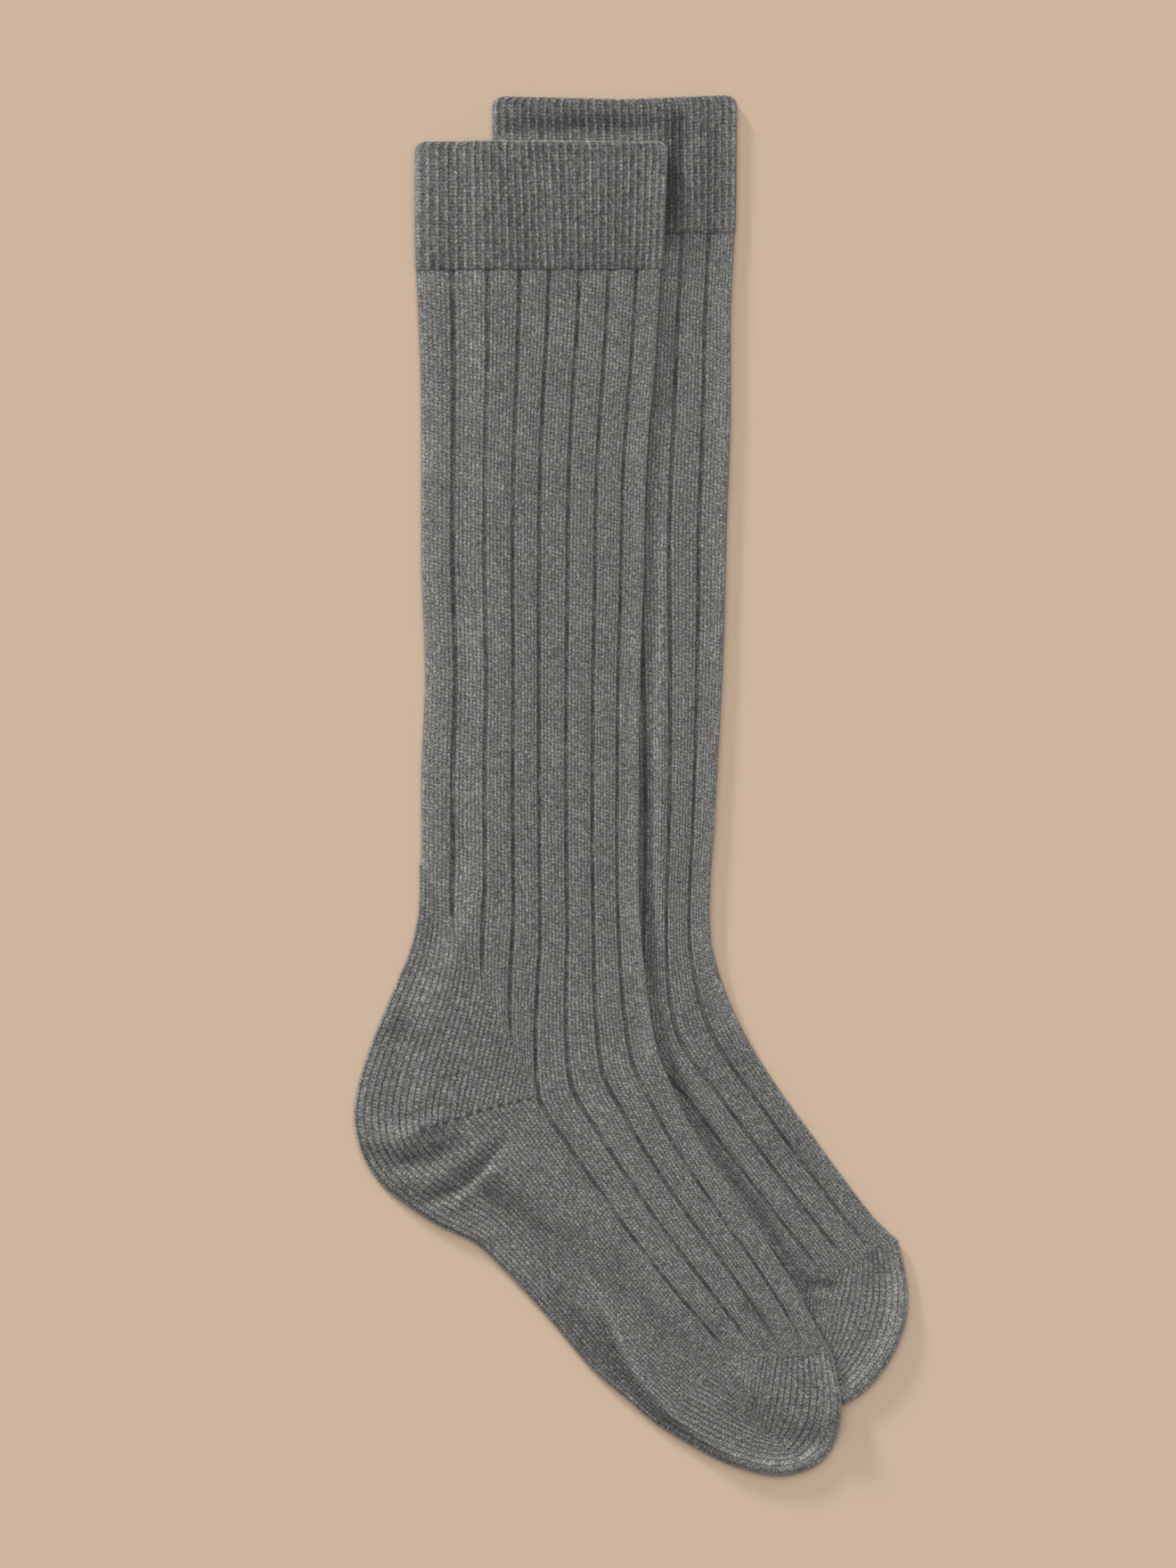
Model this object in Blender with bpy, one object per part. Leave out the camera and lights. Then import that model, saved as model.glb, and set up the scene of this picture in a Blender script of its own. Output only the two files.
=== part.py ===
"""A pair of fine-knit knee-high socks, laid flat with one partly over the other.

Sizes are in millimetres and become metres where a mesh is made. The pair rests
on z = 0 with its cuffs towards +Y, and the origin is at the middle of its
outline.

A place on a sock is given by its wale, the column of stitches it lies on.
Wales are counted from the back fold (0) over the upper face to the front fold
(64), and with a minus sign over the under face. Three lines run the length of
a sock: the back fold, the side line at wale 32, which parts sole and instep,
and the front fold.
"""

import math
from typing import NamedTuple

import bmesh
import bpy
import numpy as np

MM = 0.001
OUTLINE_MIDDLE = np.array([0.15, -0.5, 0.0])  # of the pair, as its sections are written

# The knit.
NEEDLES = 128
FRONT_WALE = NEEDLES // 2
SIDE_WALE = NEEDLES // 4
RIB_WALES = 8  # a broad rib is seven raised wales and one sunk
RIB_SHOULDER = 0.9  # wales from the middle of a groove to the rib beside it
GROOVE_DEPTH = 0.45
CUFF_RIB_DEPTH = 0.5

# The cloth and how it lies.
WALL = 1.5
INNER_GAP = 0.6
THICKNESS = 2 * WALL + INNER_GAP
FOLD_WALES = 2.2  # how far the rounding of a folded edge reaches
INNER_FOLD_WALE = 1.1  # where the hollow starts
INNER_FOLD_WALES = 1.6  # how far the rounding of the hollow's edge reaches
SEAM_GAP = 0.3
LAYER_GAP = 0.3  # between the two socks
RAMP_LENGTH = 14.0  # over which the upper sock climbs on to the lower one
RAMP_CLEARANCE = 1.5  # how far outside the lower sock the climb is over
CUFF_CORNER = 3.5  # radius of the corners at a cuff's top edge
CREASE_FADE_WALES = 6.0  # over which a crease dies out towards a fold

WALES_NEAR_FOLD = (0.0, 0.25, 0.9, FOLD_WALES)
WALES_NEAR_INNER_FOLD = (INNER_FOLD_WALE, 1.6, INNER_FOLD_WALE + INNER_FOLD_WALES)

KNIT_GREY = (0.141, 0.138, 0.133)
KNIT_ROUGHNESS = 0.95


class Section(NamedTuple):
    """A line across the sock, through its back fold, side line and front fold."""

    back_x: float
    back_y: float
    side_x: float
    side_y: float
    front_x: float
    front_y: float


class Spoke(NamedTuple):
    """Where a line from a pocket's corner meets the fold that goes round it."""

    back_x: float
    back_y: float


class Crease(NamedTuple):
    """A soft ridge, or a trough where its height is below zero."""

    start_x: float
    start_y: float
    end_x: float
    end_y: float
    half_width: float
    height: float


class Sock(NamedTuple):
    """The sections of one sock from cuff to toe, as it lies."""

    name: str
    leg: tuple
    heel: tuple
    foot: tuple
    toe: tuple
    creases: tuple
    back_ease: float  # how far the wales crowd towards the side line, as a share of that half
    front_ease: float  # how far they crowd towards the front fold, likewise
    wale_step: int  # how finely its plain faces follow what lies below them


UPPER_SOCK = Sock(
    name="upper_sock",
    leg=(
        Section(-84.0, 249.0, -33.5, 249.0, 15.0, 248.5),  # cuff's top edge
        Section(-84.0, 199.0, -31.5, 199.0, 12.5, 199.0),  # cuff's seam
        Section(-82.5, 166.0, -33.0, 166.0, 10.5, 166.0),
        Section(-82.0, 124.5, -35.0, 124.5, 7.0, 124.5),
        Section(-82.0, 83.0, -35.5, 83.0, 6.0, 83.0),
        Section(-80.5, 41.5, -35.5, 41.5, 4.5, 41.5),
        Section(-82.0, 5.5, -35.5, -3.5, 4.0, 0.0),
        Section(-82.0, -15.5, -35.0, -62.0, 4.5, -53.5),
        Section(-82.0, -30.0, -35.5, -121.5, 11.5, -103.5),  # heel's upper line
    ),
    heel=(
        Spoke(-82.0, -46.0),
        Spoke(-84.5, -60.5),
        Spoke(-90.0, -75.0),
        Spoke(-96.0, -89.0),
        Spoke(-101.5, -103.0),
        Spoke(-106.0, -118.0),
        Spoke(-107.2, -130.0),
        Spoke(-104.5, -142.5),
        Spoke(-98.0, -153.5),
        Spoke(-87.5, -162.5),
    ),
    foot=(
        Section(-73.5, -171.5, -35.5, -121.5, 11.5, -103.5),  # heel's lower line
        Section(-60.5, -177.5, -26.0, -137.0, 16.5, -115.5),
        Section(-50.5, -186.5, -16.0, -151.5, 22.5, -129.0),
        Section(-31.0, -207.5, 3.5, -179.0, 40.0, -157.0),
        Section(-14.0, -227.5, 20.5, -200.0, 55.5, -180.0),
        Section(-1.5, -238.0, 30.5, -211.5, 68.5, -201.5),
        Section(9.5, -247.5, 39.5, -221.5, 78.0, -220.5),  # toe seam
    ),
    toe=(
        Spoke(21.5, -255.0),
        Spoke(34.5, -262.0),
        Spoke(47.5, -266.5),
        Spoke(57.5, -268.0),
        Spoke(67.5, -266.0),
        Spoke(75.0, -261.5),
        Spoke(80.0, -252.5),
        Spoke(81.5, -239.5),
        Spoke(80.0, -229.5),
    ),
    creases=(
        Crease(-98.0, -130.5, -72.0, -123.5, 7.0, 0.6),
        Crease(-100.0, -141.5, -60.0, -129.0, 4.5, -0.35),
        Crease(-93.0, -148.5, -54.0, -134.0, 7.0, 0.7),
        Crease(-80.0, -157.5, -50.0, -141.0, 4.5, -0.35),
        Crease(-8.0, -214.0, 47.0, -259.0, 6.0, 0.5),
        Crease(-20.0, -187.0, 30.0, -249.0, 4.5, -0.3),
    ),
    back_ease=0.045,
    front_ease=0.025,
    wale_step=4,
)

LOWER_SOCK = Sock(
    name="lower_sock",
    leg=(
        Section(-54.0, 266.5, -3.0, 265.5, 41.5, 267.0),  # cuff's top edge
        Section(-53.5, 213.5, -1.5, 213.5, 41.0, 213.5),  # cuff's seam
        Section(-52.0, 183.0, -3.0, 183.0, 39.5, 183.0),
        Section(-51.5, 141.5, -6.0, 141.5, 39.5, 141.5),
        Section(-51.5, 100.0, -8.0, 100.0, 38.0, 100.0),
        Section(-50.5, 59.0, -6.5, 59.0, 37.0, 59.0),
        Section(-51.0, 25.0, -4.5, 10.0, 35.0, 15.5),
        Section(-51.5, 10.0, -3.5, -28.0, 33.0, -20.5),
        Section(-51.5, -2.0, -4.0, -68.0, 32.0, -61.0),
        Section(-51.5, -12.0, -6.0, -103.5, 43.0, -92.5),  # heel's upper line
    ),
    heel=(
        Spoke(-52.5, -30.0),
        Spoke(-57.0, -51.0),
        Spoke(-63.0, -64.5),
        Spoke(-68.5, -78.5),
        Spoke(-73.5, -92.5),
        Spoke(-76.0, -105.5),
        Spoke(-75.0, -120.0),
        Spoke(-68.5, -132.5),
        Spoke(-59.0, -142.5),
    ),
    foot=(
        Section(-43.0, -152.5, -6.0, -103.5, 43.0, -92.5),  # heel's lower line
        Section(-23.5, -167.0, 10.5, -124.0, 55.0, -113.0),
        Section(-6.0, -182.0, 26.0, -144.5, 69.0, -132.5),
        Section(11.0, -197.0, 41.5, -164.0, 83.5, -152.5),
        Section(26.5, -211.5, 55.0, -181.0, 95.5, -168.0),
        Section(40.5, -225.0, 66.0, -196.0, 103.5, -176.5),  # toe seam
    ),
    toe=(
        Spoke(54.0, -235.5),
        Spoke(68.0, -242.0),
        Spoke(82.0, -240.5),
        Spoke(92.5, -233.5),
        Spoke(102.0, -220.5),
        Spoke(106.5, -208.5),
        Spoke(107.5, -200.5),
        Spoke(106.5, -189.5),
    ),
    creases=(),
    back_ease=0.0,
    front_ease=0.0,
    wale_step=16,
)


def smooth_point(knots, place):
    """A point on a smooth curve through the knots, where place 2.5 is halfway from knot 2 to 3."""
    last = len(knots) - 1
    first = min(int(place), last - 1)
    before = knots[first - 1] if first > 0 else 2 * knots[0] - knots[1]
    after = knots[first + 2] if first + 2 <= last else 2 * knots[last] - knots[last - 1]
    run = [before, knots[first], knots[first + 1], after]
    times = [0.0]
    for start, end in zip(run, run[1:]):
        times.append(times[-1] + math.sqrt(np.linalg.norm(end - start)))
    time = times[1] + (place - first) * (times[2] - times[1])
    for order in (1, 2, 3):
        run = [
            (a * (times[i + order] - time) + b * (time - times[i])) / (times[i + order] - times[i])
            for i, (a, b) in enumerate(zip(run, run[1:]))
        ]
    return run[0]


def mixed(start, end, share):
    return start + (end - start) * share


def run_normal(start, end):
    """The unit vector across a line from the back fold, pointing towards the toe."""
    across = (end - start) / np.linalg.norm(end - start)
    return np.array([across[1], -across[0]])


class Lines:
    """The back fold, side line and front fold of a sock as smooth curves."""

    def __init__(self, sock):
        leg, foot = np.array(sock.leg), np.array(sock.foot)
        self.back = np.concatenate([leg[:, :2], sock.heel, foot[:, :2], sock.toe, foot[-1:, 4:]])
        self.side = np.concatenate([leg[:, 2:4], foot[1:, 2:4]])
        self.front = np.concatenate([leg[:, 4:], foot[1:, 4:]])
        self.leg_rows = len(leg) - 1
        self.foot_rows = len(foot) - 1
        self.foot_start = self.leg_rows + len(sock.heel) + 1
        self.toe_start = self.foot_start + self.foot_rows
        self.toe_end = len(self.back) - 1

    def section(self, back_place, side_place):
        """The back, side and front points at places counted along the knots of their lines."""
        return [
            smooth_point(self.back, back_place),
            smooth_point(self.side, side_place),
            smooth_point(self.front, side_place),
        ]

    def leg_section(self, place):
        return self.section(place, place)

    def foot_section(self, place):
        return self.section(self.foot_start + place, self.leg_rows + place)

    def outline(self):
        """The sock's outline seen from above."""
        steps = 4
        back = [smooth_point(self.back, i / steps) for i in range(steps * (len(self.back) - 1))]
        front = [smooth_point(self.front, i / steps) for i in range(steps * (len(self.front) - 1) + 1)]
        return np.array(back + front[::-1])


def drawn_in(section, shift):
    """A section moved across itself, towards the toe."""
    back, side, front = section
    back_run, front_run = run_normal(back, side), run_normal(side, front)
    corner_run = (back_run + front_run) / (1 + back_run @ front_run)
    return [back + shift * back_run, side + shift * corner_run, front + shift * front_run]


def cuff_sections(lines):
    """Sections from the cuff's top edge, whose corners are round, to its seam."""
    top, seam = lines.leg_section(0), lines.leg_section(1)
    height = np.linalg.norm(seam[0] - top[0])
    sections = []
    for depth in (0.0, CUFF_CORNER / 4, CUFF_CORNER, height / 2):
        back, side, front = lines.leg_section(depth / height)
        aside = CUFF_CORNER - math.sqrt(CUFF_CORNER**2 - max(CUFF_CORNER - depth, 0) ** 2)
        inwards = aside * (front - back) / np.linalg.norm(front - back)
        sections.append([back + inwards, side, front - inwards])
    return sections + [drawn_in(seam, -SEAM_GAP / 2)]


def tube_sections(section_at, start, end, rows):
    """Sections of a tube, drawn in at each end to leave half the gap of a seam."""
    sections = [section_at(place) for place in np.linspace(start, end, rows)]
    sections[0] = drawn_in(sections[0], SEAM_GAP / 2)
    sections[-1] = drawn_in(sections[-1], -SEAM_GAP / 2)
    return sections


def pocket_sections(lines, start, end, corner):
    """Spokes of a heel or toe pocket from its corner, all half a seam's gap inside its seams."""
    folds = [smooth_point(lines.back, place) for place in np.arange(start, end + 0.25, 0.5)]
    first, last = run_normal(folds[0], corner), run_normal(folds[-1], corner)
    shift = SEAM_GAP / 2
    corner = corner + np.linalg.solve([first, -last], [shift, shift])
    folds[0] = folds[0] + shift * first
    folds[-1] = folds[-1] - shift * last
    return [[fold, corner, None] for fold in folds]


def plan_point(section, wale, sock):
    """Where a wale crosses a section, seen from above."""
    back, side, front = section
    if wale <= SIDE_WALE:
        share = wale / SIDE_WALE
        return mixed(back, side, share + sock.back_ease * math.sin(math.pi * share))
    share = (wale - SIDE_WALE) / SIDE_WALE
    return mixed(side, front, share + sock.front_ease * math.sin(math.pi * share))


def rounded(wales_from_fold, reach):
    """From 0 at a fold to 1 where its rounding ends, along a quarter of an ellipse."""
    share = min(max(wales_from_fold / reach, 0), 1)
    return math.sqrt(1 - (1 - share) ** 2)


def outline_distance(points, outline):
    """How far inside an outline each point lies, and below zero outside it."""
    starts, ends = outline, np.roll(outline, -1, axis=0)
    sides = ends - starts
    offsets = points[:, None] - starts
    share = (offsets * sides).sum(2) / (sides * sides).sum(1)
    nearest = offsets - np.clip(share, 0, 1)[..., None] * sides
    distance = np.linalg.norm(nearest, axis=2).min(1)
    height = points[:, 1, None]
    crosses = (starts[:, 1] > height) != (ends[:, 1] > height)
    rise = np.where(sides[:, 1] == 0, 1, sides[:, 1])
    crossing_x = starts[:, 0] + (height - starts[:, 1]) / rise * sides[:, 0]
    inside = (crosses & (points[:, 0, None] < crossing_x)).sum(1) % 2 == 1
    return np.where(inside, distance, -distance)


def lift(points, outline):
    """How high the sock below holds each point of the upper one."""
    if outline is None:
        return np.zeros(len(points))
    rise = (outline_distance(points, outline) + RAMP_CLEARANCE + RAMP_LENGTH) / RAMP_LENGTH
    rise = np.clip(rise, 0, 1)
    return (THICKNESS + LAYER_GAP) * rise**2 * (3 - 2 * rise)


def crease_height(points, creases):
    """How far the creases raise each point of the upper face."""
    height = np.zeros(len(points))
    for crease in creases:
        start = np.array([crease.start_x, crease.start_y])
        run = np.array([crease.end_x, crease.end_y]) - start
        share = np.clip((points - start) @ run / (run @ run), 0, 1)
        aside = np.linalg.norm(points - start - share[:, None] * run, axis=1)
        across = np.cos(np.clip(aside / crease.half_width, 0, 1) * math.pi / 2) ** 2
        height += crease.height * across * np.sin(share * math.pi) ** 0.5
    return height


def groove_depth(piece, wale):
    """How far the outer face is sunk at a wale of the upper face."""
    if piece == "cuff":
        return CUFF_RIB_DEPTH if round(wale) % 2 == 0 else 0.0
    ribbed = piece == "leg" or (piece == "foot" and wale >= SIDE_WALE)
    return GROOVE_DEPTH if ribbed and wale % RIB_WALES == 0 else 0.0


def face_wales(whole, near_fold, between):
    """Wales across a face from the back fold, crowded near each fold."""
    reach = near_fold[-1]
    if whole:
        fixed = [*near_fold, *(FRONT_WALE - wale for wale in near_fold)]
        flat_end = FRONT_WALE - reach
    else:
        fixed = list(near_fold)
        flat_end = SIDE_WALE
    flat = [wale for wale in between if reach + 0.5 < wale < flat_end - 0.5]
    return sorted({*fixed, *flat, SIDE_WALE})


def ribbed_wales(piece, whole):
    """Wales across the outer upper face, with those that its ribs turn at."""
    if piece == "cuff":
        return face_wales(whole, WALES_NEAR_FOLD, range(FRONT_WALE))
    between = set(range(0, FRONT_WALE, RIB_WALES // 2))
    first_groove = {"leg": 0, "foot": SIDE_WALE}.get(piece, FRONT_WALE)
    for groove in range(first_groove, FRONT_WALE, RIB_WALES):
        between |= {groove - RIB_SHOULDER, groove + RIB_SHOULDER}
    return face_wales(whole, WALES_NEAR_FOLD, between)


def ring_wales(upper, under, whole):
    """Signed wales once round a tube, or from the side line round the fold and back in a pocket."""
    if whole:
        return upper + [-wale for wale in under[-2:0:-1]]
    return [-wale for wale in under[:0:-1]] + upper


def way_round(wale, whole):
    """How far round a ring a wale lies, where the hollow's edge counts as the fold beside it."""
    if wale == INNER_FOLD_WALE:
        return 0
    if wale == FRONT_WALE - INNER_FOLD_WALE:
        return FRONT_WALE
    return wale + NEEDLES if whole and wale < 0 else wale


def face_height(wale, whole, inner, piece):
    """The height of a wale on the outer or inner face of the cloth, lying flat."""
    from_fold = min(abs(wale), FRONT_WALE - abs(wale)) if whole else abs(wale)
    if inner:
        half = INNER_GAP / 2 * rounded(from_fold - INNER_FOLD_WALE, INNER_FOLD_WALES)
    else:
        bulge = rounded(from_fold, FOLD_WALES)
        half = bulge * THICKNESS / 2
        if wale > 0:
            half -= bulge * groove_depth(piece, wale)
    return THICKNESS / 2 + math.copysign(half, wale)


def ring_points(section, wales, inner, piece, sock, below):
    """The points of one ring."""
    whole = section[2] is not None
    plan = np.array([plan_point(section, abs(wale), sock) for wale in wales])
    heights = np.array([face_height(wale, whole, inner, piece) for wale in wales])
    creased = np.array([rounded(wale, CREASE_FADE_WALES) for wale in wales])
    heights += creased * crease_height(plan, sock.creases) + lift(plan, below)
    return np.column_stack([plan, heights])


def join_strip(mesh, ring, next_ring, whole):
    """Faces between two rings of the same wales."""
    count = len(ring)
    for i in range(count if whole else count - 1):
        after = (i + 1) % count
        mesh.faces.new([ring[i], ring[after], next_ring[after], next_ring[i]])


def join_rim(mesh, outer, inner, outer_way, inner_way, whole):
    """Triangles across the cloth's thickness, between rings of unlike counts."""
    if whole:
        outer, inner = outer + outer[:1], inner + inner[:1]
        outer_way, inner_way = outer_way + [NEEDLES], inner_way + [NEEDLES]
    i = j = 0
    while i < len(outer) - 1 or j < len(inner) - 1:
        inner_done = j == len(inner) - 1
        if inner_done or (i < len(outer) - 1 and outer_way[i + 1] <= inner_way[j + 1]):
            mesh.faces.new([outer[i], outer[i + 1], inner[j]])
            i += 1
        else:
            mesh.faces.new([outer[i], inner[j + 1], inner[j]])
            j += 1


def knit_material(name):
    material = bpy.data.materials.new(name)
    material.use_nodes = True
    shader = material.node_tree.nodes["Principled BSDF"]
    shader.inputs["Base Color"].default_value = (*KNIT_GREY, 1)
    shader.inputs["Roughness"].default_value = KNIT_ROUGHNESS
    shader.inputs["Metallic"].default_value = 0
    return material


def make_piece(sock, piece, sections, below):
    """One closed wall of cloth through the sections, open where its neighbours join on."""
    whole = sections[0][2] is not None
    plain = range(0, FRONT_WALE, sock.wale_step)
    under = face_wales(whole, WALES_NEAR_FOLD, plain)
    inside = face_wales(whole, WALES_NEAR_INNER_FOLD, plain)
    outer_wales = ring_wales(ribbed_wales(piece, whole), under, whole)
    inner_wales = ring_wales(inside, inside, whole)

    mesh = bmesh.new()
    rings = []
    for section in sections:
        pair = []
        for wales, inner in ((outer_wales, False), (inner_wales, True)):
            points = ring_points(section, wales, inner, piece, sock, below)
            pair.append([mesh.verts.new(point * MM) for point in points - OUTLINE_MIDDLE])
        rings.append(pair)
    for (outer, inner), (next_outer, next_inner) in zip(rings, rings[1:]):
        join_strip(mesh, outer, next_outer, whole)
        join_strip(mesh, inner, next_inner, whole)
    outer_way = [way_round(wale, whole) for wale in outer_wales]
    inner_way = [way_round(wale, whole) for wale in inner_wales]
    for outer, inner in (rings[0], rings[-1]):
        join_rim(mesh, outer, inner, outer_way, inner_way, whole)
    # A pocket's spokes all start at its corner, so their points there become one.
    bmesh.ops.remove_doubles(mesh, verts=mesh.verts, dist=1e-6)
    bmesh.ops.recalc_face_normals(mesh, faces=mesh.faces)

    name = f"{sock.name}_{piece}"
    data = bpy.data.meshes.new(name)
    mesh.to_mesh(data)
    mesh.free()
    data.shade_smooth()
    data.set_sharp_from_angle(angle=math.radians(40))
    data.materials.append(knit_material(name))
    bpy.context.scene.collection.objects.link(bpy.data.objects.new(name, data))


def make_sock(sock, below=None):
    """The cuff, leg, heel, foot and toe of one sock, over the outline of what lies below."""
    lines = Lines(sock)
    leg_rows, foot_rows = lines.leg_rows, lines.foot_rows
    heel_corner, toe_corner = lines.side[leg_rows], lines.side[-1]
    leg = tube_sections(lines.leg_section, 1, leg_rows, leg_rows + 3)
    foot = tube_sections(lines.foot_section, 0, foot_rows, foot_rows + 4)
    make_piece(sock, "cuff", cuff_sections(lines), below)
    make_piece(sock, "leg", leg, below)
    make_piece(sock, "heel", pocket_sections(lines, leg_rows, lines.foot_start, heel_corner), below)
    make_piece(sock, "foot", foot, below)
    make_piece(sock, "toe", pocket_sections(lines, lines.toe_start, lines.toe_end, toe_corner), below)
    return lines.outline()


def main():
    for thing in list(bpy.data.objects):
        bpy.data.objects.remove(thing, do_unlink=True)
    lower_outline = make_sock(LOWER_SOCK)
    make_sock(UPPER_SOCK, below=lower_outline)


main()
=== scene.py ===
"""A pair of fine-knit knee-high socks in grey marl, laid flat with one partly over the other.

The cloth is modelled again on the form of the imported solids, fine enough for its columns of
stitches, its ribs, seams and creases. Sizes are in millimetres unless a name says otherwise,
and become metres where a mesh is made.

A place on a sock is given by its wale, the column of stitches it lies on, and by its course,
the row of stitches. Wales are counted from the back fold (0) over the upper face to the front
fold (64), and go on over the under face, back to the back fold, up to 128. A heel or toe has
only the half beside the back fold, and its wales on the under face are counted below zero.
"""

import math
from functools import partialmethod
from typing import NamedTuple

import bpy
import numpy as np
from bpy.props import FloatProperty, FloatVectorProperty, PointerProperty
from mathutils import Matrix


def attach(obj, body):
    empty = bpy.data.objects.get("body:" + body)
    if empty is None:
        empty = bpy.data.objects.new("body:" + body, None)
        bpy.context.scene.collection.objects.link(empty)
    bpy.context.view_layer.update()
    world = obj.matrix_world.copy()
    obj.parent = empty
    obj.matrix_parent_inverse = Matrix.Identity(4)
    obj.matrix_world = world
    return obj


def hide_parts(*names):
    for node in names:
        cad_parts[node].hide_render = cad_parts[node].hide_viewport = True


bl_info = {
    "name": "Knee-high socks, laid flat",
    "version": (1, 0, 0),
    "blender": (4, 5, 0),
    "location": "3D View > Sidebar > Socks",
    "description": "Knits a pair of ribbed knee-high socks over their packed solids",
    "category": "Object",
}

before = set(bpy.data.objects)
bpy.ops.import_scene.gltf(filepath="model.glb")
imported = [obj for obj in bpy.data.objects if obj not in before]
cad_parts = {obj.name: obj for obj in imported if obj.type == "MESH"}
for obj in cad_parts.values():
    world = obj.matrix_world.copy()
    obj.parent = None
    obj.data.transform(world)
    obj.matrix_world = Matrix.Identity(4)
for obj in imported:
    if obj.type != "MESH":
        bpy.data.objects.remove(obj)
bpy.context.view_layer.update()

MM = 0.001
OUTLINE_MIDDLE = np.array([0.15, -0.5, 0.0])  # of the pair, as its sections are written

# The knit, as counted on the garment.
NEEDLES = 128
FRONT_WALE = NEEDLES // 2
SIDE_WALE = NEEDLES // 4
RIB_WALES = 8  # a broad rib is seven raised wales and one sunk
# How far above the heel's corner the ribs end, counted from the back fold. Most never do.
RIB_ENDS = np.array([90.0, 70.0, 49.0, 27.0] + [-1000.0] * 13)
RIB_FADE = 18.0  # over which an ended rib still shows as a broken line
BROKEN_RIB = 0.5  # how deep that line is, as a share of the groove
TOE_RIB_FADE = 13.0  # over which the instep's ribs die out before the toe
CUFF_RIBBING = 0.7  # how far the cuff's stretched ribs sink their purl wales
CUFF_RIB_WALES = 2  # one raised and one sunk
GROOVE_WALES = 0.95  # half the width of the groove at a sunk wale
CUFF_GROOVE_WALES = 0.75  # and on the cuff
STITCH_SLANT = 0.55  # how much lower a stitch starts at its sides, in courses
JERSEY = "Marl jersey, knitted"

# The cloth and how it lies, as in the solids.
WALL = 1.5
INNER_GAP = 0.6
THICKNESS = 2 * WALL + INNER_GAP
FOLD_WALES = 2.2  # how far the rounding of a folded edge reaches
INNER_FOLD_WALE = 1.1  # where the inner gap starts
INNER_FOLD_WALES = 1.6  # and how far its own rounding reaches
LAYER_GAP = 0.3  # between the two socks
BULGE_REACH = 0.6  # share of a pocket's half that takes up the bulge of its fold
BULGE_POWER = 1.2  # how fast that bulge fades away from the fold
BOW_SCALE = 27 / 4  # with which a mitre's bow is 1 where it is greatest
BOW_POWER = 1.5  # how fast the bow fades away from the mitre
RAMP_LENGTH = 14.0  # over which the upper sock climbs on to the lower one
RAMP_CLEARANCE = 1.5  # how far outside the lower sock's outline the ramp ends
CUFF_CORNER = 3.5  # radius of the corners at a cuff's top edge
LIP_RADIUS = WALL / 2  # of the rounded edge of the cloth at a cuff's top
LIP_ROWS = 5  # that round it
CORNER_ROWS = np.array([0.3, 0.5, 0.75, 1.0])  # that round a corner, as shares of its radius
CREASE_FADE_WALES = 4.0  # over which a crease dies out towards a fold
DEEPEST_CREASE = 1.6  # that the cloth can take before its two sides meet
UPPER_SHARE = 0.8  # of a crease that reaches the inner face of the upper side
UNDER_SHARE = 0.5  # of a trough that reaches the inner face of the under side
THINNEST_WALL = 0.6  # that the roll of the sole leaves
ROLL_START = -185.0  # along Y, where the upper sock's sole starts to roll over its edge
ROLL_END = 52.0  # along X, where it ends under the toe
ROLL_FADE = 20.0  # over which it forms and dies out
# How many wales the roll takes in at four places along X.
ROLL_PLACES = (-25.0, 0.0, 20.0, 45.0)
ROLL_WALES = (8.0, 6.0, 4.2, 2.5)
CUFF_SWELL = 1.3  # how far the springy ribs of the upper cuff stand above the leg

# How finely the cloth is modelled.
OUTLINE_STEP = 0.25  # between points of an outline, as a share of the way between two sections
COLUMN_STEPS = 4  # points across one wale
TOE_COLUMNS = 0.65  # to a wale of the foot, as the toe is knitted coarser
UNDERSIDE_RELIEF = 0.6  # share of the knit's relief that the sock's weight leaves underneath
TOE_BLEND = 1.5  # over which the relief of one gives way to the other's
INNER_STEP = 2  # wales between points inside
ROW_STEP = 3.0
SEAM_ROWS = (0.12, 0.8)  # extra rows beside a tube's seam
POCKET_ROWS = np.array([0.01, 0.06])  # spokes to the extra rows beside a pocket's seams and mitre
PINCH_REACH = 1.6  # how far from a seam the cloth is drawn in
TOE_SEAM_SHARE = 0.3  # how much less the flat linked toe seam draws it in
EYELET_WALES = 2.0  # between the holes along the heel's mitre
EYELET_START = 9.0  # wales from the back fold to the first one
EYELET_RADIUS = 0.9
EYELET_FLOOR = 0.3  # share of it that is at full depth
PAINTED_SHEEN_WALES = 7.0  # how far from a fold the painted sheen reaches
PAINTED_SHEEN_REACH = 3.5  # and how far from a cuff's top edge
# How much painted sheen lightens each piece's folds, as a share of the sheen's full paleness.
PAINTED_SHEEN_SHARES = {"cuff": 0.9, "leg": 0.85, "heel": 0.1, "foot": 0.1, "toe": 0.7}
ROLL_SHADE = (0.15, 0.5)  # how dark the painted shade of the sole's roll is at the fold, and how much darker at its ridge
ROLL_EDGE = 1.1  # where that shade ends, as a share of the roll
ROLL_EDGE_SLOPE = 3.0  # and how fast it does
DARKEST_CREASE_DEPTH = 3.4  # of a crease at which its painted shade is darkest
PALEST_RIDGE_HEIGHT = 3.5  # of a ridge at which its painted light is palest
HEEL_SHADE = 0.13  # painted shade laid evenly over the whole heel


class Section(NamedTuple):
    """A line across the sock, through its back fold, side line and front fold."""

    back_x: float
    back_y: float
    side_x: float
    side_y: float
    front_x: float
    front_y: float


class Crease(NamedTuple):
    """A soft ridge along a line of points, or a trough where its height is below zero.
    Its height also sets the painted shade in a trough and the painted light on a ridge.
    """

    line: tuple
    half_width: float
    height: float


class Pocket(NamedTuple):
    """How the wales of a heel or toe turn at its mitre line."""

    mitre_spoke: float  # the spoke that the mitre line ends at
    bow_x: float  # how far the mitre line stands off a straight one, two thirds of the way in
    bow_y: float


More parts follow.
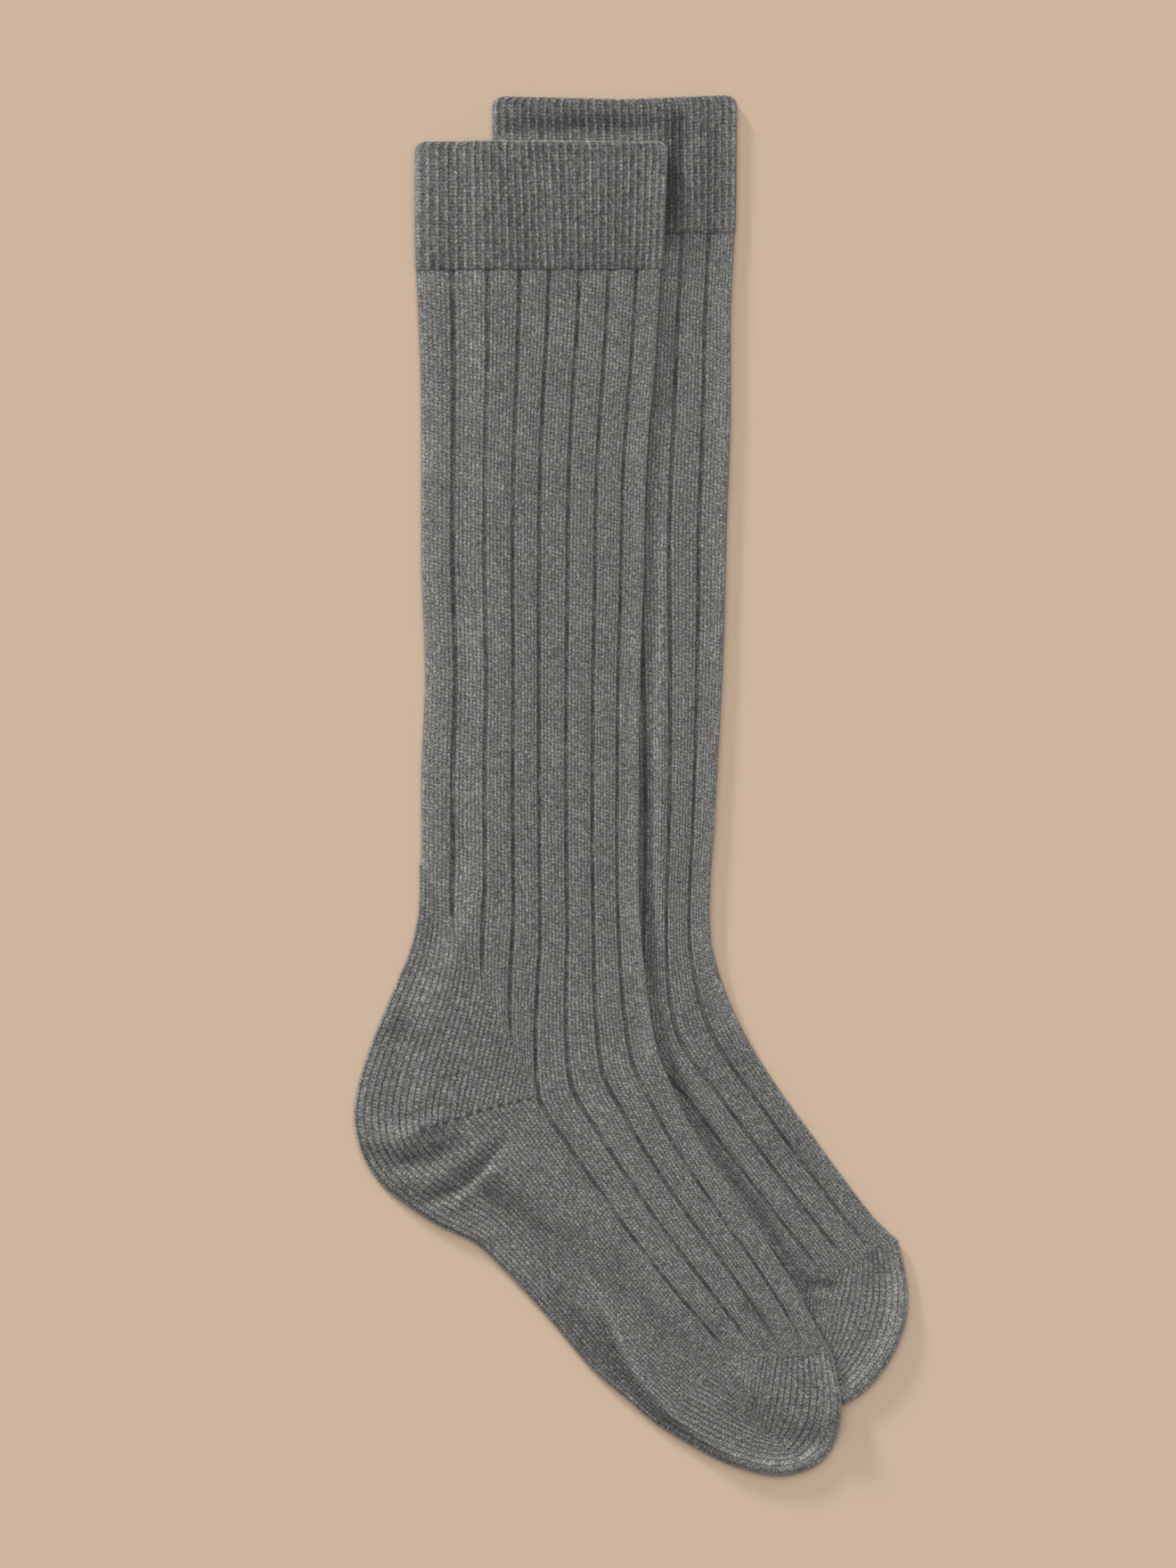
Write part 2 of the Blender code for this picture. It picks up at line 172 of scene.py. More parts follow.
class Sock(NamedTuple):
    """The sections of one sock from cuff to toe, as it lies.

    A heel or toe is a pocket, given by its spokes: where lines from its corner meet the fold that
    goes round it, as X and Y.
    """

    name: str
    leg: tuple
    heel: tuple
    foot: tuple
    toe: tuple
    heel_turn: Pocket
    toe_turn: Pocket
    creases: tuple
    back_ease: float  # how far the wales crowd towards the side line, as a share of that half
    front_ease: float  # how far they crowd towards the front fold, likewise
    first_course: float  # where its courses are counted from, so that no two socks are alike


UPPER_SOCK = Sock(
    name="upper_sock",
    leg=(
        Section(-84, 249, -33.5, 249, 15, 248.5),  # cuff's top edge
        Section(-84, 199, -31.5, 199, 12.5, 199),  # cuff's seam
        Section(-82.5, 166, -33, 166, 10.5, 166),
        Section(-82, 124.5, -35, 124.5, 7, 124.5),
        Section(-82, 83, -35.5, 83, 6, 83),
        Section(-80.5, 41.5, -35.5, 41.5, 4.5, 41.5),
        Section(-82, 5.5, -35.5, -3.5, 4, 0),
        Section(-82, -15.5, -35, -62, 4.5, -53.5),
        Section(-82, -30, -35.5, -121.5, 11.5, -103.5),  # heel's upper line
    ),
    heel=(
        (-82, -46), (-84.5, -60.5), (-90, -75), (-96, -89), (-101.5, -103), (-106, -118), (-107.2, -130),
        (-104.5, -142.5), (-98, -153.5), (-87.5, -162.5),
    ),
    foot=(
        Section(-73.5, -171.5, -35.5, -121.5, 11.5, -103.5),  # heel's lower line
        Section(-60.5, -177.5, -26, -137, 16.5, -115.5),
        Section(-50.5, -186.5, -16, -151.5, 22.5, -129),
        Section(-31, -207.5, 3.5, -179, 40, -157),
        Section(-14, -227.5, 20.5, -200, 55.5, -180),
        Section(-1.5, -238, 30.5, -211.5, 68.5, -201.5),
        Section(9.5, -247.5, 39.5, -221.5, 78, -220.5),  # toe seam
    ),
    toe=(
        (21.5, -255), (34.5, -262), (47.5, -266.5), (57.5, -268), (67.5, -266), (75, -261.5),
        (80, -252.5), (81.5, -239.5), (80, -229.5),
    ),
    heel_turn=Pocket(mitre_spoke=8, bow_x=0, bow_y=2),
    toe_turn=Pocket(mitre_spoke=5, bow_x=0, bow_y=-9),
    creases=(
        # The heel sags into ridges and troughs along its mitre and below it.
        Crease(((-105, -133.5), (-92, -137.5), (-82, -134), (-69, -126.5)), 6, 1.3),
        Crease(((-107, -141.5), (-92, -146.5), (-80, -145), (-64, -137.5)), 5.5, -1.9),
        Crease(((-96, -150.5), (-82, -153.5), (-70, -149.5), (-57, -139)), 4.5, 0.7),
        Crease(((-95, -156.5), (-80, -161.5), (-67, -156), (-56, -146), (-47, -136)), 4, -1.5),
        # A slack place above the heel's mitre, and a ridge below it.
        Crease(((-100, -94), (-88, -97), (-75, -103)), 9, -1.2),
        Crease(((-73, -167), (-61, -157), (-49, -146)), 3.8, 1),
        # Slacker cloth across the sole.
        Crease(((-62, -157), (-46, -167), (-31, -184), (-18, -200)), 11, -0.7),
        # The sole rolls over its edge towards the toe, below a ridge.
        Crease(
            ((-17, -190), (-7, -207), (-2, -219.5), (4, -230.5), (13, -242.5), (25, -252.5),
             (38, -261), (52, -265.5)),
            2.8,
            1.6,
        ),
        Crease(((-12.5, -207), (-5.5, -221), (0.5, -233), (9.5, -244.5), (25, -255.5)), 4.5, -2.8),
        # The toe is plump along its rim, and dented in its middle.
        Crease(((46, -263), (60, -264.5), (70, -261), (77, -252)), 4, 0.8),
        Crease(((50, -222), (56, -235), (60, -247)), 9, -0.5),
        # Small dips where the ribs meet the toe.
        Crease(((31.5, -211), (36.5, -217)), 3.5, -1.2),
        Crease(((38, -216), (42.5, -221)), 3, -0.9),
        Crease(((42, -201.5), (53, -209)), 4.5, -1.3),
        Crease(((47, -218), (58, -219.5)), 3, -0.7),
    ),
    back_ease=0.045,
    front_ease=0.025,
    first_course=1000,
)

LOWER_SOCK = Sock(
    name="lower_sock",
    leg=(
        Section(-54, 266.5, -3, 265.5, 41.5, 267),  # cuff's top edge
        Section(-53.5, 213.5, -1.5, 213.5, 41, 213.5),  # cuff's seam
        Section(-52, 183, -3, 183, 39.5, 183),
        Section(-51.5, 141.5, -6, 141.5, 39.5, 141.5),
        Section(-51.5, 100, -8, 100, 38, 100),
        Section(-50.5, 59, -6.5, 59, 37, 59),
        Section(-51, 25, -4.5, 10, 35, 15.5),
        Section(-51.5, 10, -3.5, -28, 33, -20.5),
        Section(-51.5, -2, -4, -68, 32, -61),
        Section(-51.5, -12, -6, -103.5, 43, -92.5),  # heel's upper line
    ),
    heel=(
        (-52.5, -30), (-57, -51), (-63, -64.5), (-68.5, -78.5), (-73.5, -92.5), (-76, -105.5),
        (-75, -120), (-68.5, -132.5), (-59, -142.5),
    ),
    foot=(
        Section(-43, -152.5, -6, -103.5, 43, -92.5),  # heel's lower line
        Section(-23.5, -167, 10.5, -124, 55, -113),
        Section(-6, -182, 26, -144.5, 69, -132.5),
        Section(11, -197, 41.5, -164, 83.5, -152.5),
        Section(26.5, -211.5, 55, -181, 95.5, -168),
        Section(40.5, -225, 66, -196, 103.5, -176.5),  # toe seam
    ),
    toe=(
        (54, -235.5), (68, -242), (82, -240.5), (92.5, -233.5), (102, -220.5), (106.5, -208.5),
        (107.5, -200.5), (106.5, -189.5),
    ),
    heel_turn=Pocket(mitre_spoke=7, bow_x=0, bow_y=2),
    toe_turn=Pocket(mitre_spoke=2.5, bow_x=4, bow_y=-9),
    creases=(
        # The cloth sinks beside the edges of the sock on top, and over the foot and the toe's seam.
        # These troughs also carry the painted shadow that the sock on top casts, darker than their sinking
        # alone.
        Crease(((-62, 254), (-20, 254.5), (20, 255)), 6, -1.6),
        Crease(((18.5, 261), (16.8, 240), (16.3, 220), (15.8, 205)), 6.5, -3.4),
        Crease(((34, 258), (33, 200)), 10, -1.2),
        Crease(((5.5, 20), (6, -40), (9, -85), (13, -97)), 4, -1.8),
        Crease(((20, -84), (45, -122), (80, -172)), 14, -0.6),
        Crease(
            ((9.5, -95), (17.5, -113), (25, -128), (34.5, -144), (45.5, -160), (55, -175),
             (64.5, -190), (74, -208)),
            5,
            -2.6,
        ),
        Crease(((63, -193.5), (82, -195)), 4, -1.5),
        Crease(((93, -181), (101, -193)), 5, -0.8),
        # The toe is plump along its rim.
        Crease(((105, -194), (102.5, -212), (93, -227), (81, -236)), 7, 1.2),
        # Along the leg it swells beside that edge instead.
        Crease(((14.5, 145), (13, 100), (11.5, 50), (10.5, 0), (11, -50), (14.5, -84)), 6.5, 1.5),
    ),
    back_ease=0,
    front_ease=0,
    first_course=3000,
)


# Curves and sections, seen from above.


def smooth_points(knots, places):
    """Points on a smooth curve through the knots, where place 2.5 is halfway from knot 2 to 3."""
    last = len(knots) - 1
    ends = (2 * knots[0] - knots[1], 2 * knots[last] - knots[last - 1])
    padded = np.vstack([ends[0], knots, ends[1]])
    spans = np.sqrt(np.linalg.norm(np.diff(padded, axis=0), axis=1))
    first = np.clip(places.astype(int), 0, last - 1)
    run = [padded[first + i] for i in range(4)]
    times = [np.zeros(len(places))]
    for i in range(3):
        times.append(times[-1] + spans[first + i])
    time = times[1] + (places - first) * (times[2] - times[1])
    for order in (1, 2, 3):
        run = [
            ((times[i + order] - time)[:, None] * a + (time - times[i])[:, None] * b)
            / (times[i + order] - times[i])[:, None]
            for i, (a, b) in enumerate(zip(run, run[1:]))
        ]
    return run[0]


class Lines:
    """The back fold, side line and front fold of a sock as smooth curves."""

    def __init__(self, sock):
        leg, foot = np.array(sock.leg), np.array(sock.foot)
        self.back = np.concatenate([leg[:, :2], sock.heel, foot[:, :2], sock.toe, foot[-1:, 4:]])
        self.side = np.concatenate([leg[:, 2:4], foot[1:, 2:4]])
        self.front = np.concatenate([leg[:, 4:], foot[1:, 4:]])
        self.leg_rows = len(leg) - 1
        self.foot_rows = len(foot) - 1
        self.foot_start = self.leg_rows + len(sock.heel) + 1
        self.toe_start = self.foot_start + self.foot_rows
        self.toe_end = len(self.back) - 1

    def sections(self, back_places, side_places):
        return (
            smooth_points(self.back, back_places),
            smooth_points(self.side, side_places),
            smooth_points(self.front, side_places),
        )

    def outline(self):
        """The sock's outline seen from above."""
        last = len(self.front) - 1
        back = smooth_points(self.back, np.arange(0, self.toe_end, OUTLINE_STEP))
        front = smooth_points(self.front, np.arange(0, last + OUTLINE_STEP / 2, OUTLINE_STEP))
        return np.concatenate([back, front[::-1]])


def row_places(knots, start, end):
    """Places along a line from knot start to knot end, about a row's step apart."""
    places = []
    for knot in range(start, end):
        length = np.linalg.norm(knots[knot + 1] - knots[knot])
        count = max(2, math.ceil(length / ROW_STEP))
        places.extend(knot + i / count for i in range(count))
    return np.array(places + [end], dtype=float)


def with_seam_rows(places, lengths):
    """Adds rows close to each end, so that shading runs on across a seam."""
    total = lengths[-1]
    near = [*SEAM_ROWS, *(total - depth for depth in SEAM_ROWS)]
    return np.unique(np.concatenate([places, np.interp(near, lengths, places)]))


def run_lengths(points):
    """Length along a line of points, from its first."""
    steps = np.linalg.norm(np.diff(points, axis=0), axis=-1)
    return np.concatenate([np.zeros((1, *steps.shape[1:])), np.cumsum(steps, axis=0)])


def tube_rows(lines, start, end, back_offset):
    """Sections of a tube of cloth between two knots of its side line."""
    places = row_places(lines.side, start, end)
    places = with_seam_rows(places, run_lengths(smooth_points(lines.front, places)))
    return lines.sections(places + back_offset, places)


def cuff_rows(lines):
    """Sections of the cuff from its top edge, whose corners are round, to its seam."""
    height = np.linalg.norm(lines.side[1] - lines.side[0])
    turn = LIP_RADIUS * (1 - np.cos(np.linspace(0, math.pi / 2, LIP_ROWS)))
    corner = CUFF_CORNER * CORNER_ROWS
    down = np.arange(CUFF_CORNER + ROW_STEP / 2, height - SEAM_ROWS[1], ROW_STEP / 2)
    depths = np.concatenate([turn, corner, down, height - np.array([*SEAM_ROWS[::-1], 0])])
    back, side, front = lines.sections(depths / height, depths / height)
    aside = CUFF_CORNER - np.sqrt(CUFF_CORNER**2 - np.clip(CUFF_CORNER - depths, 0, None) ** 2)
    across = (front - back) / np.linalg.norm(front - back, axis=1)[:, None]
    inwards = aside[:, None] * across
    return (back + inwards, side, front - inwards), depths


class Tube:
    """The plan of a tube of cloth, as its wales cross its sections."""

    turn_row = 0

    def __init__(self, sections, sock, heel=None, heel_row=0):
        self.sections = sections
        self.sock = sock
        self.heel, self.heel_row = heel, heel_row  # the pocket that it runs on into, and where

    def plan(self, wales):
        back, side, front = (points[:, None] for points in self.sections)
        behind = np.clip(wales / SIDE_WALE, 0, 1)[None, :, None]
        ahead = np.clip(wales / SIDE_WALE - 1, 0, 1)[None, :, None]
        behind = behind + self.sock.back_ease * np.sin(math.pi * behind)
        ahead = ahead + self.sock.front_ease * np.sin(math.pi * ahead)
        near_back = back + (side - back) * behind
        return np.where((wales <= SIDE_WALE)[None, :, None], near_back, side + (front - side) * ahead)

    def along(self, face):
        """How far along its wale each point lies, before and after the turn row."""
        lengths = run_lengths(face.points)
        if self.heel:
            joint = face.points[self.heel_row]
            before, after = self.heel.along(Face(joint[None], face.wales, None))
            sole = (np.abs(face.wales - FRONT_WALE) > SIDE_WALE) & (self.heel_row == 0)
            lengths = lengths - lengths[self.heel_row] + np.where(sole, after, before)
        return lengths, lengths


class PocketPlan:
    """The plan of a heel or toe pocket, its wales straight on each side of the mitre."""

    def __init__(self, lines, start, end, corner, turn, sock, foot=None):
        self.foot = foot  # the tube that its courses run on from
        mitre = start + turn.mitre_spoke
        beside = POCKET_ROWS[1:]
        near = [start + POCKET_ROWS, mitre - beside, [mitre], mitre + beside, end - POCKET_ROWS]
        self.places = np.unique(np.concatenate([row_places(lines.back, start, end), *near]))
        self.turn_row = int(np.searchsorted(self.places, mitre))
        self.folds = smooth_points(lines.back, self.places)
        self.tip = smooth_points(lines.back, np.array([mitre]))[0]
        self.before = np.clip((self.places - start) / (mitre - start), 0, 1)[:, None]
        self.after = np.clip((self.places - mitre) / (end - mitre), 0, 1)[:, None]
        self.corner, self.turn, self.sock = corner, turn, sock

    def plan(self, wales):
        early = self.folds[0] + (self.tip - self.folds[0]) * self.before
        straight = early + (self.folds[-1] - self.tip) * self.after
        share = np.clip(wales / SIDE_WALE, 0, 1)
        share = (share + self.sock.back_ease * np.sin(math.pi * share))[None, :, None]
        bulge = np.clip(1 - share / BULGE_REACH, 0, 1) ** BULGE_POWER
        near_mitre = (self.before * (1 - self.after))[:, :, None] ** BOW_POWER
        bow = np.array([self.turn.bow_x, self.turn.bow_y]) * near_mitre * BOW_SCALE * share**2 * (1 - share)
        flat = straight[:, None] * (1 - share) + self.corner * share
        return flat + (self.folds - straight)[:, None] * bulge + bow

    def along(self, face):
        """How far along its wale each point lies, before and after the turn, alike at the corner."""
        flat = face.points[:, :, :2] - self.tip
        ways = [way / np.linalg.norm(way) for way in (self.tip - self.folds[0], self.folds[-1] - self.tip)]
        before = flat @ ways[0]
        after = flat @ ways[1] + (self.corner - self.tip) @ (ways[0] - ways[1])
        if self.foot:
            run = Face(self.foot.plan(np.abs(face.wales)), face.wales, None)
            lead = self.foot.along(run)[0][-1] - before[0]
            before, after = before + lead, after + lead
        return before, after


# Heights.

POINTS_AT_ONCE = 4000  # that are set against an outline, to spare memory
NO_LENGTH = 1e-6  # a direction this short can't be told


def rounded(from_fold, reach):
    """From 0 at a fold to 1 where its rounding ends, along a quarter of an ellipse."""
    share = np.clip(from_fold / reach, 0, 1)
    return np.sqrt(1 - (1 - share) ** 2)


def outline_distance(points, outline):
    """How far inside an outline each point lies, and below zero outside it."""
    starts, ends = outline, np.roll(outline, -1, axis=0)
    sides = ends - starts
    rise = np.where(sides[:, 1] == 0, 1, sides[:, 1])
    result = []
    for some in np.array_split(points, max(1, len(points) // POINTS_AT_ONCE)):
        offsets = some[:, None] - starts
        share = np.clip((offsets * sides).sum(2) / (sides * sides).sum(1), 0, 1)
        distance = np.linalg.norm(offsets - share[..., None] * sides, axis=2).min(1)
        height = some[:, 1, None]
        crosses = (starts[:, 1] > height) != (ends[:, 1] > height)
        crossing_x = starts[:, 0] + (height - starts[:, 1]) / rise * sides[:, 0]
        inside = (crosses & (some[:, 0, None] < crossing_x)).sum(1) % 2 == 1
        result.append(np.where(inside, distance, -distance))
    return np.concatenate(result)


def lift(plan, below):
    """How high the sock below holds each point of the upper one."""
    if below is None:
        return np.zeros(plan.shape[:2])
    distance = outline_distance(plan.reshape(-1, 2), below).reshape(plan.shape[:2])
    rise = np.clip((distance + RAMP_CLEARANCE + RAMP_LENGTH) / RAMP_LENGTH, 0, 1)
    return (THICKNESS + LAYER_GAP) * rise**2 * (3 - 2 * rise)


def crease_height(plan, creases):
    """How far the creases raise each point of the upper face."""
    points = plan.reshape(-1, 2)
    height = np.zeros(len(points))
    for crease in creases:
        line = np.array(crease.line)
        lengths = run_lengths(line)
        nearest = np.full(len(points), np.inf)
        along = np.zeros(len(points))
        for start, end, done in zip(line, line[1:], lengths):
            run = end - start
            share = np.clip((points - start) @ run / (run @ run), 0, 1)
            aside = np.linalg.norm(points - start - share[:, None] * run, axis=1)
            along = np.where(aside < nearest, done + share * np.linalg.norm(run), along)
            nearest = np.minimum(aside, nearest)
        across = np.cos(np.clip(nearest / crease.half_width, 0, 1) * math.pi / 2) ** 2
        height += crease.height * across * np.sin(along / lengths[-1] * math.pi) ** 0.5
    return height.reshape(plan.shape[:2])


def roll_reach(plan):
    """How many wales the roll of the sole takes in at each point."""
    return np.interp(plan[:, :, 0], ROLL_PLACES, ROLL_WALES)


def sole_roll(plan, wales, sock):
    """How far the upper sock's sole rolls under its edge at each point, from 0 to 1."""
    if sock is not UPPER_SOCK:
        return np.zeros(plan.shape[:2])
    formed = np.clip((ROLL_START - plan[:, :, 1]) / ROLL_FADE, 0, 1)
    left = np.clip((ROLL_END - plan[:, :, 0]) / ROLL_FADE, 0, 1)
    return formed * left * (np.abs(wales - FRONT_WALE) >= SIDE_WALE)


# From rows and wales to a closed wall of cloth.


class Face(NamedTuple):
    """One face of a wall of cloth, rows by wales, each row once round."""

    points: np.ndarray
    wales: np.ndarray
    facing: np.ndarray  # 1 on the upper face, -1 on the under face and 0 at a fold


def once_round(upper, under, whole):
    """Joins the points of the upper and under faces into rows that go round the fold."""
    if whole:
        return np.concatenate([upper, under[:, -2:0:-1]], axis=1)
    return np.concatenate([under[:, :0:-1], upper], axis=1)


def cloth_face(form, inner, whole, sock, below, lip):
    """The outer or inner face of a piece, lying flat or lifted by the sock below."""
    last = FRONT_WALE if whole else SIDE_WALE
    step = INNER_STEP if inner else 1 / COLUMN_STEPS
    wales = np.arange(0, last + step / 2, step)
    places = wales
    if inner:
        places = INNER_FOLD_WALE + wales * (SIDE_WALE - INNER_FOLD_WALE) / SIDE_WALE
        if whole:
            places = np.where(wales > SIDE_WALE, FRONT_WALE - places[::-1], places)
    plan = form.plan(places)
    from_fold = np.minimum(places, FRONT_WALE - places) if whole else places
    if inner:
        half = INNER_GAP / 2 * rounded(from_fold - INNER_FOLD_WALE, INNER_FOLD_WALES)
    else:
        half = THICKNESS / 2 * rounded(from_fold, FOLD_WALES)
    half = np.broadcast_to(half, plan.shape[:2])
    if lip is not None:
        middle = (THICKNESS + INNER_GAP) / 4 * rounded(from_fold, FOLD_WALES)
        half = middle + (half - middle) * np.sqrt(1 - (1 - np.clip(lip / LIP_RADIUS, 0, 1)) ** 2)[:, None]
    raised = lift(plan, below)
    height = crease_height(plan, sock.creases)
    height = np.where(height < 0, DEEPEST_CREASE * np.tanh(height / DEEPEST_CREASE), height)
    creased = rounded(from_fold, CREASE_FADE_WALES) * height
    pressed = 0  # how far the inner face of the under side gives way to a trough
    if inner:
        creased, pressed = creased * UPPER_SHARE, np.minimum(creased, 0) * UNDER_SHARE
    if lip is not None and below is not None:
        # The upper cuff swells from its seam up, least at its folds, and half as far inside.
        risen = CUFF_SWELL * np.sin(np.clip(1 - lip / lip[-1], 0, 0.5) * math.pi)[:, None]
        risen = risen * (rounded(from_fold, FOLD_WALES) + 1) / (4 if inner else 2)
        creased, pressed = creased + risen, pressed + (risen if inner else 0)
    top = THICKNESS / 2 + half + raised + creased
    if not inner:
        roll = THICKNESS / 2 * (rounded(from_fold, FOLD_WALES) - rounded(from_fold, roll_reach(plan)))
        rolled = top - roll * sole_roll(plan, places, sock)
        thinnest = (THICKNESS + INNER_GAP) / 2 + raised + creased * UPPER_SHARE + THINNEST_WALL
        top = np.minimum(top, np.maximum(rolled, thinnest))
    upper = np.dstack([plan, top])
    under = np.dstack([plan, THICKNESS / 2 - half + raised + pressed])
    ring = once_round(wales[None], -wales[None], whole)[0]
    turn = np.sign(ring) * (ring < FRONT_WALE)
    counted = np.where(ring < 0, NEEDLES + ring, ring) if whole else ring
    return Face(once_round(upper, under, whole), counted, turn)


def outward(face, whole):
    """The direction out of the cloth at each point of its outer face."""
    points = face.points
    if whole:
        across = np.roll(points, -1, axis=1) - np.roll(points, 1, axis=1)
    else:
        across = np.gradient(points, axis=1)
    normal = np.cross(across, np.gradient(points, axis=0))
    length = np.linalg.norm(normal, axis=2, keepdims=True)
    up = face.facing[None, :, None] * np.array([0.0, 0.0, 1.0])
    normal = np.where(length > NO_LENGTH, normal / np.maximum(length, NO_LENGTH), up)
    # A fold faces away from the middle of its row, and the two faces up and down.
    from_middle = points - points.mean(axis=1, keepdims=True)
    wrong = np.where(face.facing == 0, (normal * from_middle).sum(axis=2), normal[:, :, 2] * face.facing) < 0
    return np.where(wrong[..., None], -normal, normal)


def wall_faces(rows, count, inner_count, whole):
    """Faces of the outer and inner grids, and the rims that join them at both ends."""
    def grid(start, width):
        columns = np.arange(width if whole else width - 1)
        row, column = np.meshgrid(start + np.arange(rows - 1) * width, columns, indexing="ij")
        after = (column + 1) % width
        below = row + width
        return np.dstack([row + column, row + after, below + after, below + column]).reshape(-1, 4)

    inner_start = rows * count
    faces = grid(0, count)[:, ::-1].tolist() + grid(inner_start, inner_count).tolist()
    steps = INNER_STEP * COLUMN_STEPS
    rims = []
    for row, turned in ((0, False), (rows - 1, True)):
        for j in range(inner_count if whole else inner_count - 1):
            outer = [row * count + (j * steps + i) % count for i in range(steps + 1)]
            inner = [inner_start + row * inner_count + (j + i) % inner_count for i in (1, 0)]
            rim = outer + inner
            rims.append(rim[::-1] if turned else rim)
    return faces, rims


class Cloth:
    """What the knit needs to know about a piece: its faces, its seams and how deep its ribs are."""

    def __init__(self, sock, piece, form, below, lip=None):
        self.name = f"{sock.name}_{piece}_knit"
        self.node = f"{sock.name}_{piece}"
        self.sock, self.piece, self.form = sock, piece, form
        self.whole = isinstance(form, Tube)
        self.columns = TOE_COLUMNS if piece == "toe" else 1
        self.outer = cloth_face(form, False, self.whole, sock, below, lip)
        self.inner = cloth_face(form, True, self.whole, sock, below, lip)
        self.outward = outward(self.outer, self.whole)


def ribbing(cloth):
    """How far the broad ribs are formed at each point of the outer face, from 0 to 1."""
    points, wales = cloth.outer.points, cloth.outer.wales
    if cloth.piece == "cuff":
        return np.full(points.shape[:2], CUFF_RIBBING)
    if cloth.piece == "foot":
        lengths = run_lengths(points)
        instep = np.abs(wales - FRONT_WALE) < SIDE_WALE + GROOVE_WALES
        return instep * np.clip((lengths[-1] - lengths) / TOE_RIB_FADE, 0, 1)
    if cloth.piece == "leg":
        ends = RIB_ENDS[np.round(wales / RIB_WALES).astype(int)]
        ends = np.maximum(ends, RIB_ENDS[np.round((NEEDLES - wales) / RIB_WALES).astype(int)])
        left = points[:, :, 1] - cloth.sock.foot[0].side_y - ends
        return np.clip(1 + left / RIB_FADE, 0, 1) ** 0.5 * np.where(left < 0, BROKEN_RIB, 1)
    return np.zeros(points.shape[:2])


def pinch(cloth):
    """How far the cloth is drawn in beside a seam, from 0 to 1 at the seam."""
    lengths = run_lengths(cloth.outer.points)
    if cloth.piece == "heel":
        return np.zeros(lengths.shape)
    from_seam = lengths if cloth.piece == "leg" else lengths[-1] - lengths
    near = np.clip(1 - from_seam / PINCH_REACH, 0, 1)
    if cloth.piece == "foot":  # the sole runs on into the toe, and only the instep has a seam
        near = near * (np.abs(cloth.outer.wales - FRONT_WALE) <= SIDE_WALE)
    return near * (TOE_SEAM_SHARE if cloth.piece in ("foot", "toe") else 1)


def eyelets(cloth):
    """Where the small holes of the heel's mitre are, from 0 to 1 at each hole."""
    points, wales = cloth.outer.points, np.abs(cloth.outer.wales)
    if cloth.piece != "heel":
        return np.zeros(points.shape[:2])
    from_mitre = np.linalg.norm(points - points[cloth.form.turn_row], axis=2)
    beside = np.abs(wales / EYELET_WALES - np.round(wales / EYELET_WALES)) * EYELET_WALES
    hole = np.cos(np.clip(beside, 0, 0.5) * math.pi) * (wales > EYELET_START)
    return hole * np.clip(1 + EYELET_FLOOR - from_mitre / EYELET_RADIUS, 0, 1)


def relief_share(cloth):
    """How much of the relief shows: less underneath, and none where the toe's columns meet the foot's."""
    under = (cloth.outer.facing < 0) * np.clip(wales_from_fold(cloth) / FOLD_WALES, 0, 1)
    kept = 1 - (1 - UNDERSIDE_RELIEF) * under
    lengths = run_lengths(cloth.outer.points)
    from_end = lengths[-1] - lengths
    if cloth.piece == "foot":
        return kept * np.clip(from_end / TOE_BLEND, 0, 1)
    if cloth.piece == "toe":
        return kept * np.clip(np.minimum(lengths, from_end) / TOE_BLEND, 0, 1)
    return kept * np.ones(lengths.shape)


def wales_from_fold(cloth):
    wales = cloth.outer.wales
    return np.abs(wales - np.round(wales / FRONT_WALE) * FRONT_WALE)


def painted_shading(cloth):
    """Painted shade at each point: by how deep it lies in a crease, in the roll of the sole, and evenly over
    the heel; below 0, painted light on a ridge. A crease's shade follows its full given depth, while the
    cloth itself sinks no deeper than DEEPEST_CREASE.
    """
    plan = cloth.outer.points[:, :, :2]
    height = crease_height(plan, cloth.sock.creases)
    sunk = -height / np.where(height < 0, DARKEST_CREASE_DEPTH, PALEST_RIDGE_HEIGHT)
    sunk = np.clip(sunk, -1, 1) * (cloth.outer.facing > 0)
    across = wales_from_fold(cloth) / roll_reach(plan)
    roll = ROLL_SHADE[0] + ROLL_SHADE[1] * across
    roll = roll * np.clip((ROLL_EDGE - across) * ROLL_EDGE_SLOPE, 0, 1)
    roll = roll * sole_roll(plan, cloth.outer.wales, cloth.sock)
    sunk = np.where(roll > 0, np.maximum(sunk, roll), sunk)
    return sunk + HEEL_SHADE if cloth.piece == "heel" else sunk


def rim(cloth):
    """How strong the painted sheen is, from 0 to 1 along the folds and a cuff's top edge."""
    near = np.clip(1 - wales_from_fold(cloth) / PAINTED_SHEEN_WALES, 0, 1)
    near = near * (1 - sole_roll(cloth.outer.points[:, :, :2], cloth.outer.wales, cloth.sock))
    near = near * PAINTED_SHEEN_SHARES[cloth.piece]
    if cloth.piece == "cuff":
        near = np.maximum(near, np.clip(1 - run_lengths(cloth.outer.points) / PAINTED_SHEEN_REACH, 0, 1))
    return near


# What the knit reads at each point of the outer face.
FIELDS = {
    "relief": relief_share,
    "ribbing": ribbing,
    "pinch": pinch,
    "eyelet": eyelets,
    "rim": rim,
    "hollow": painted_shading,
}


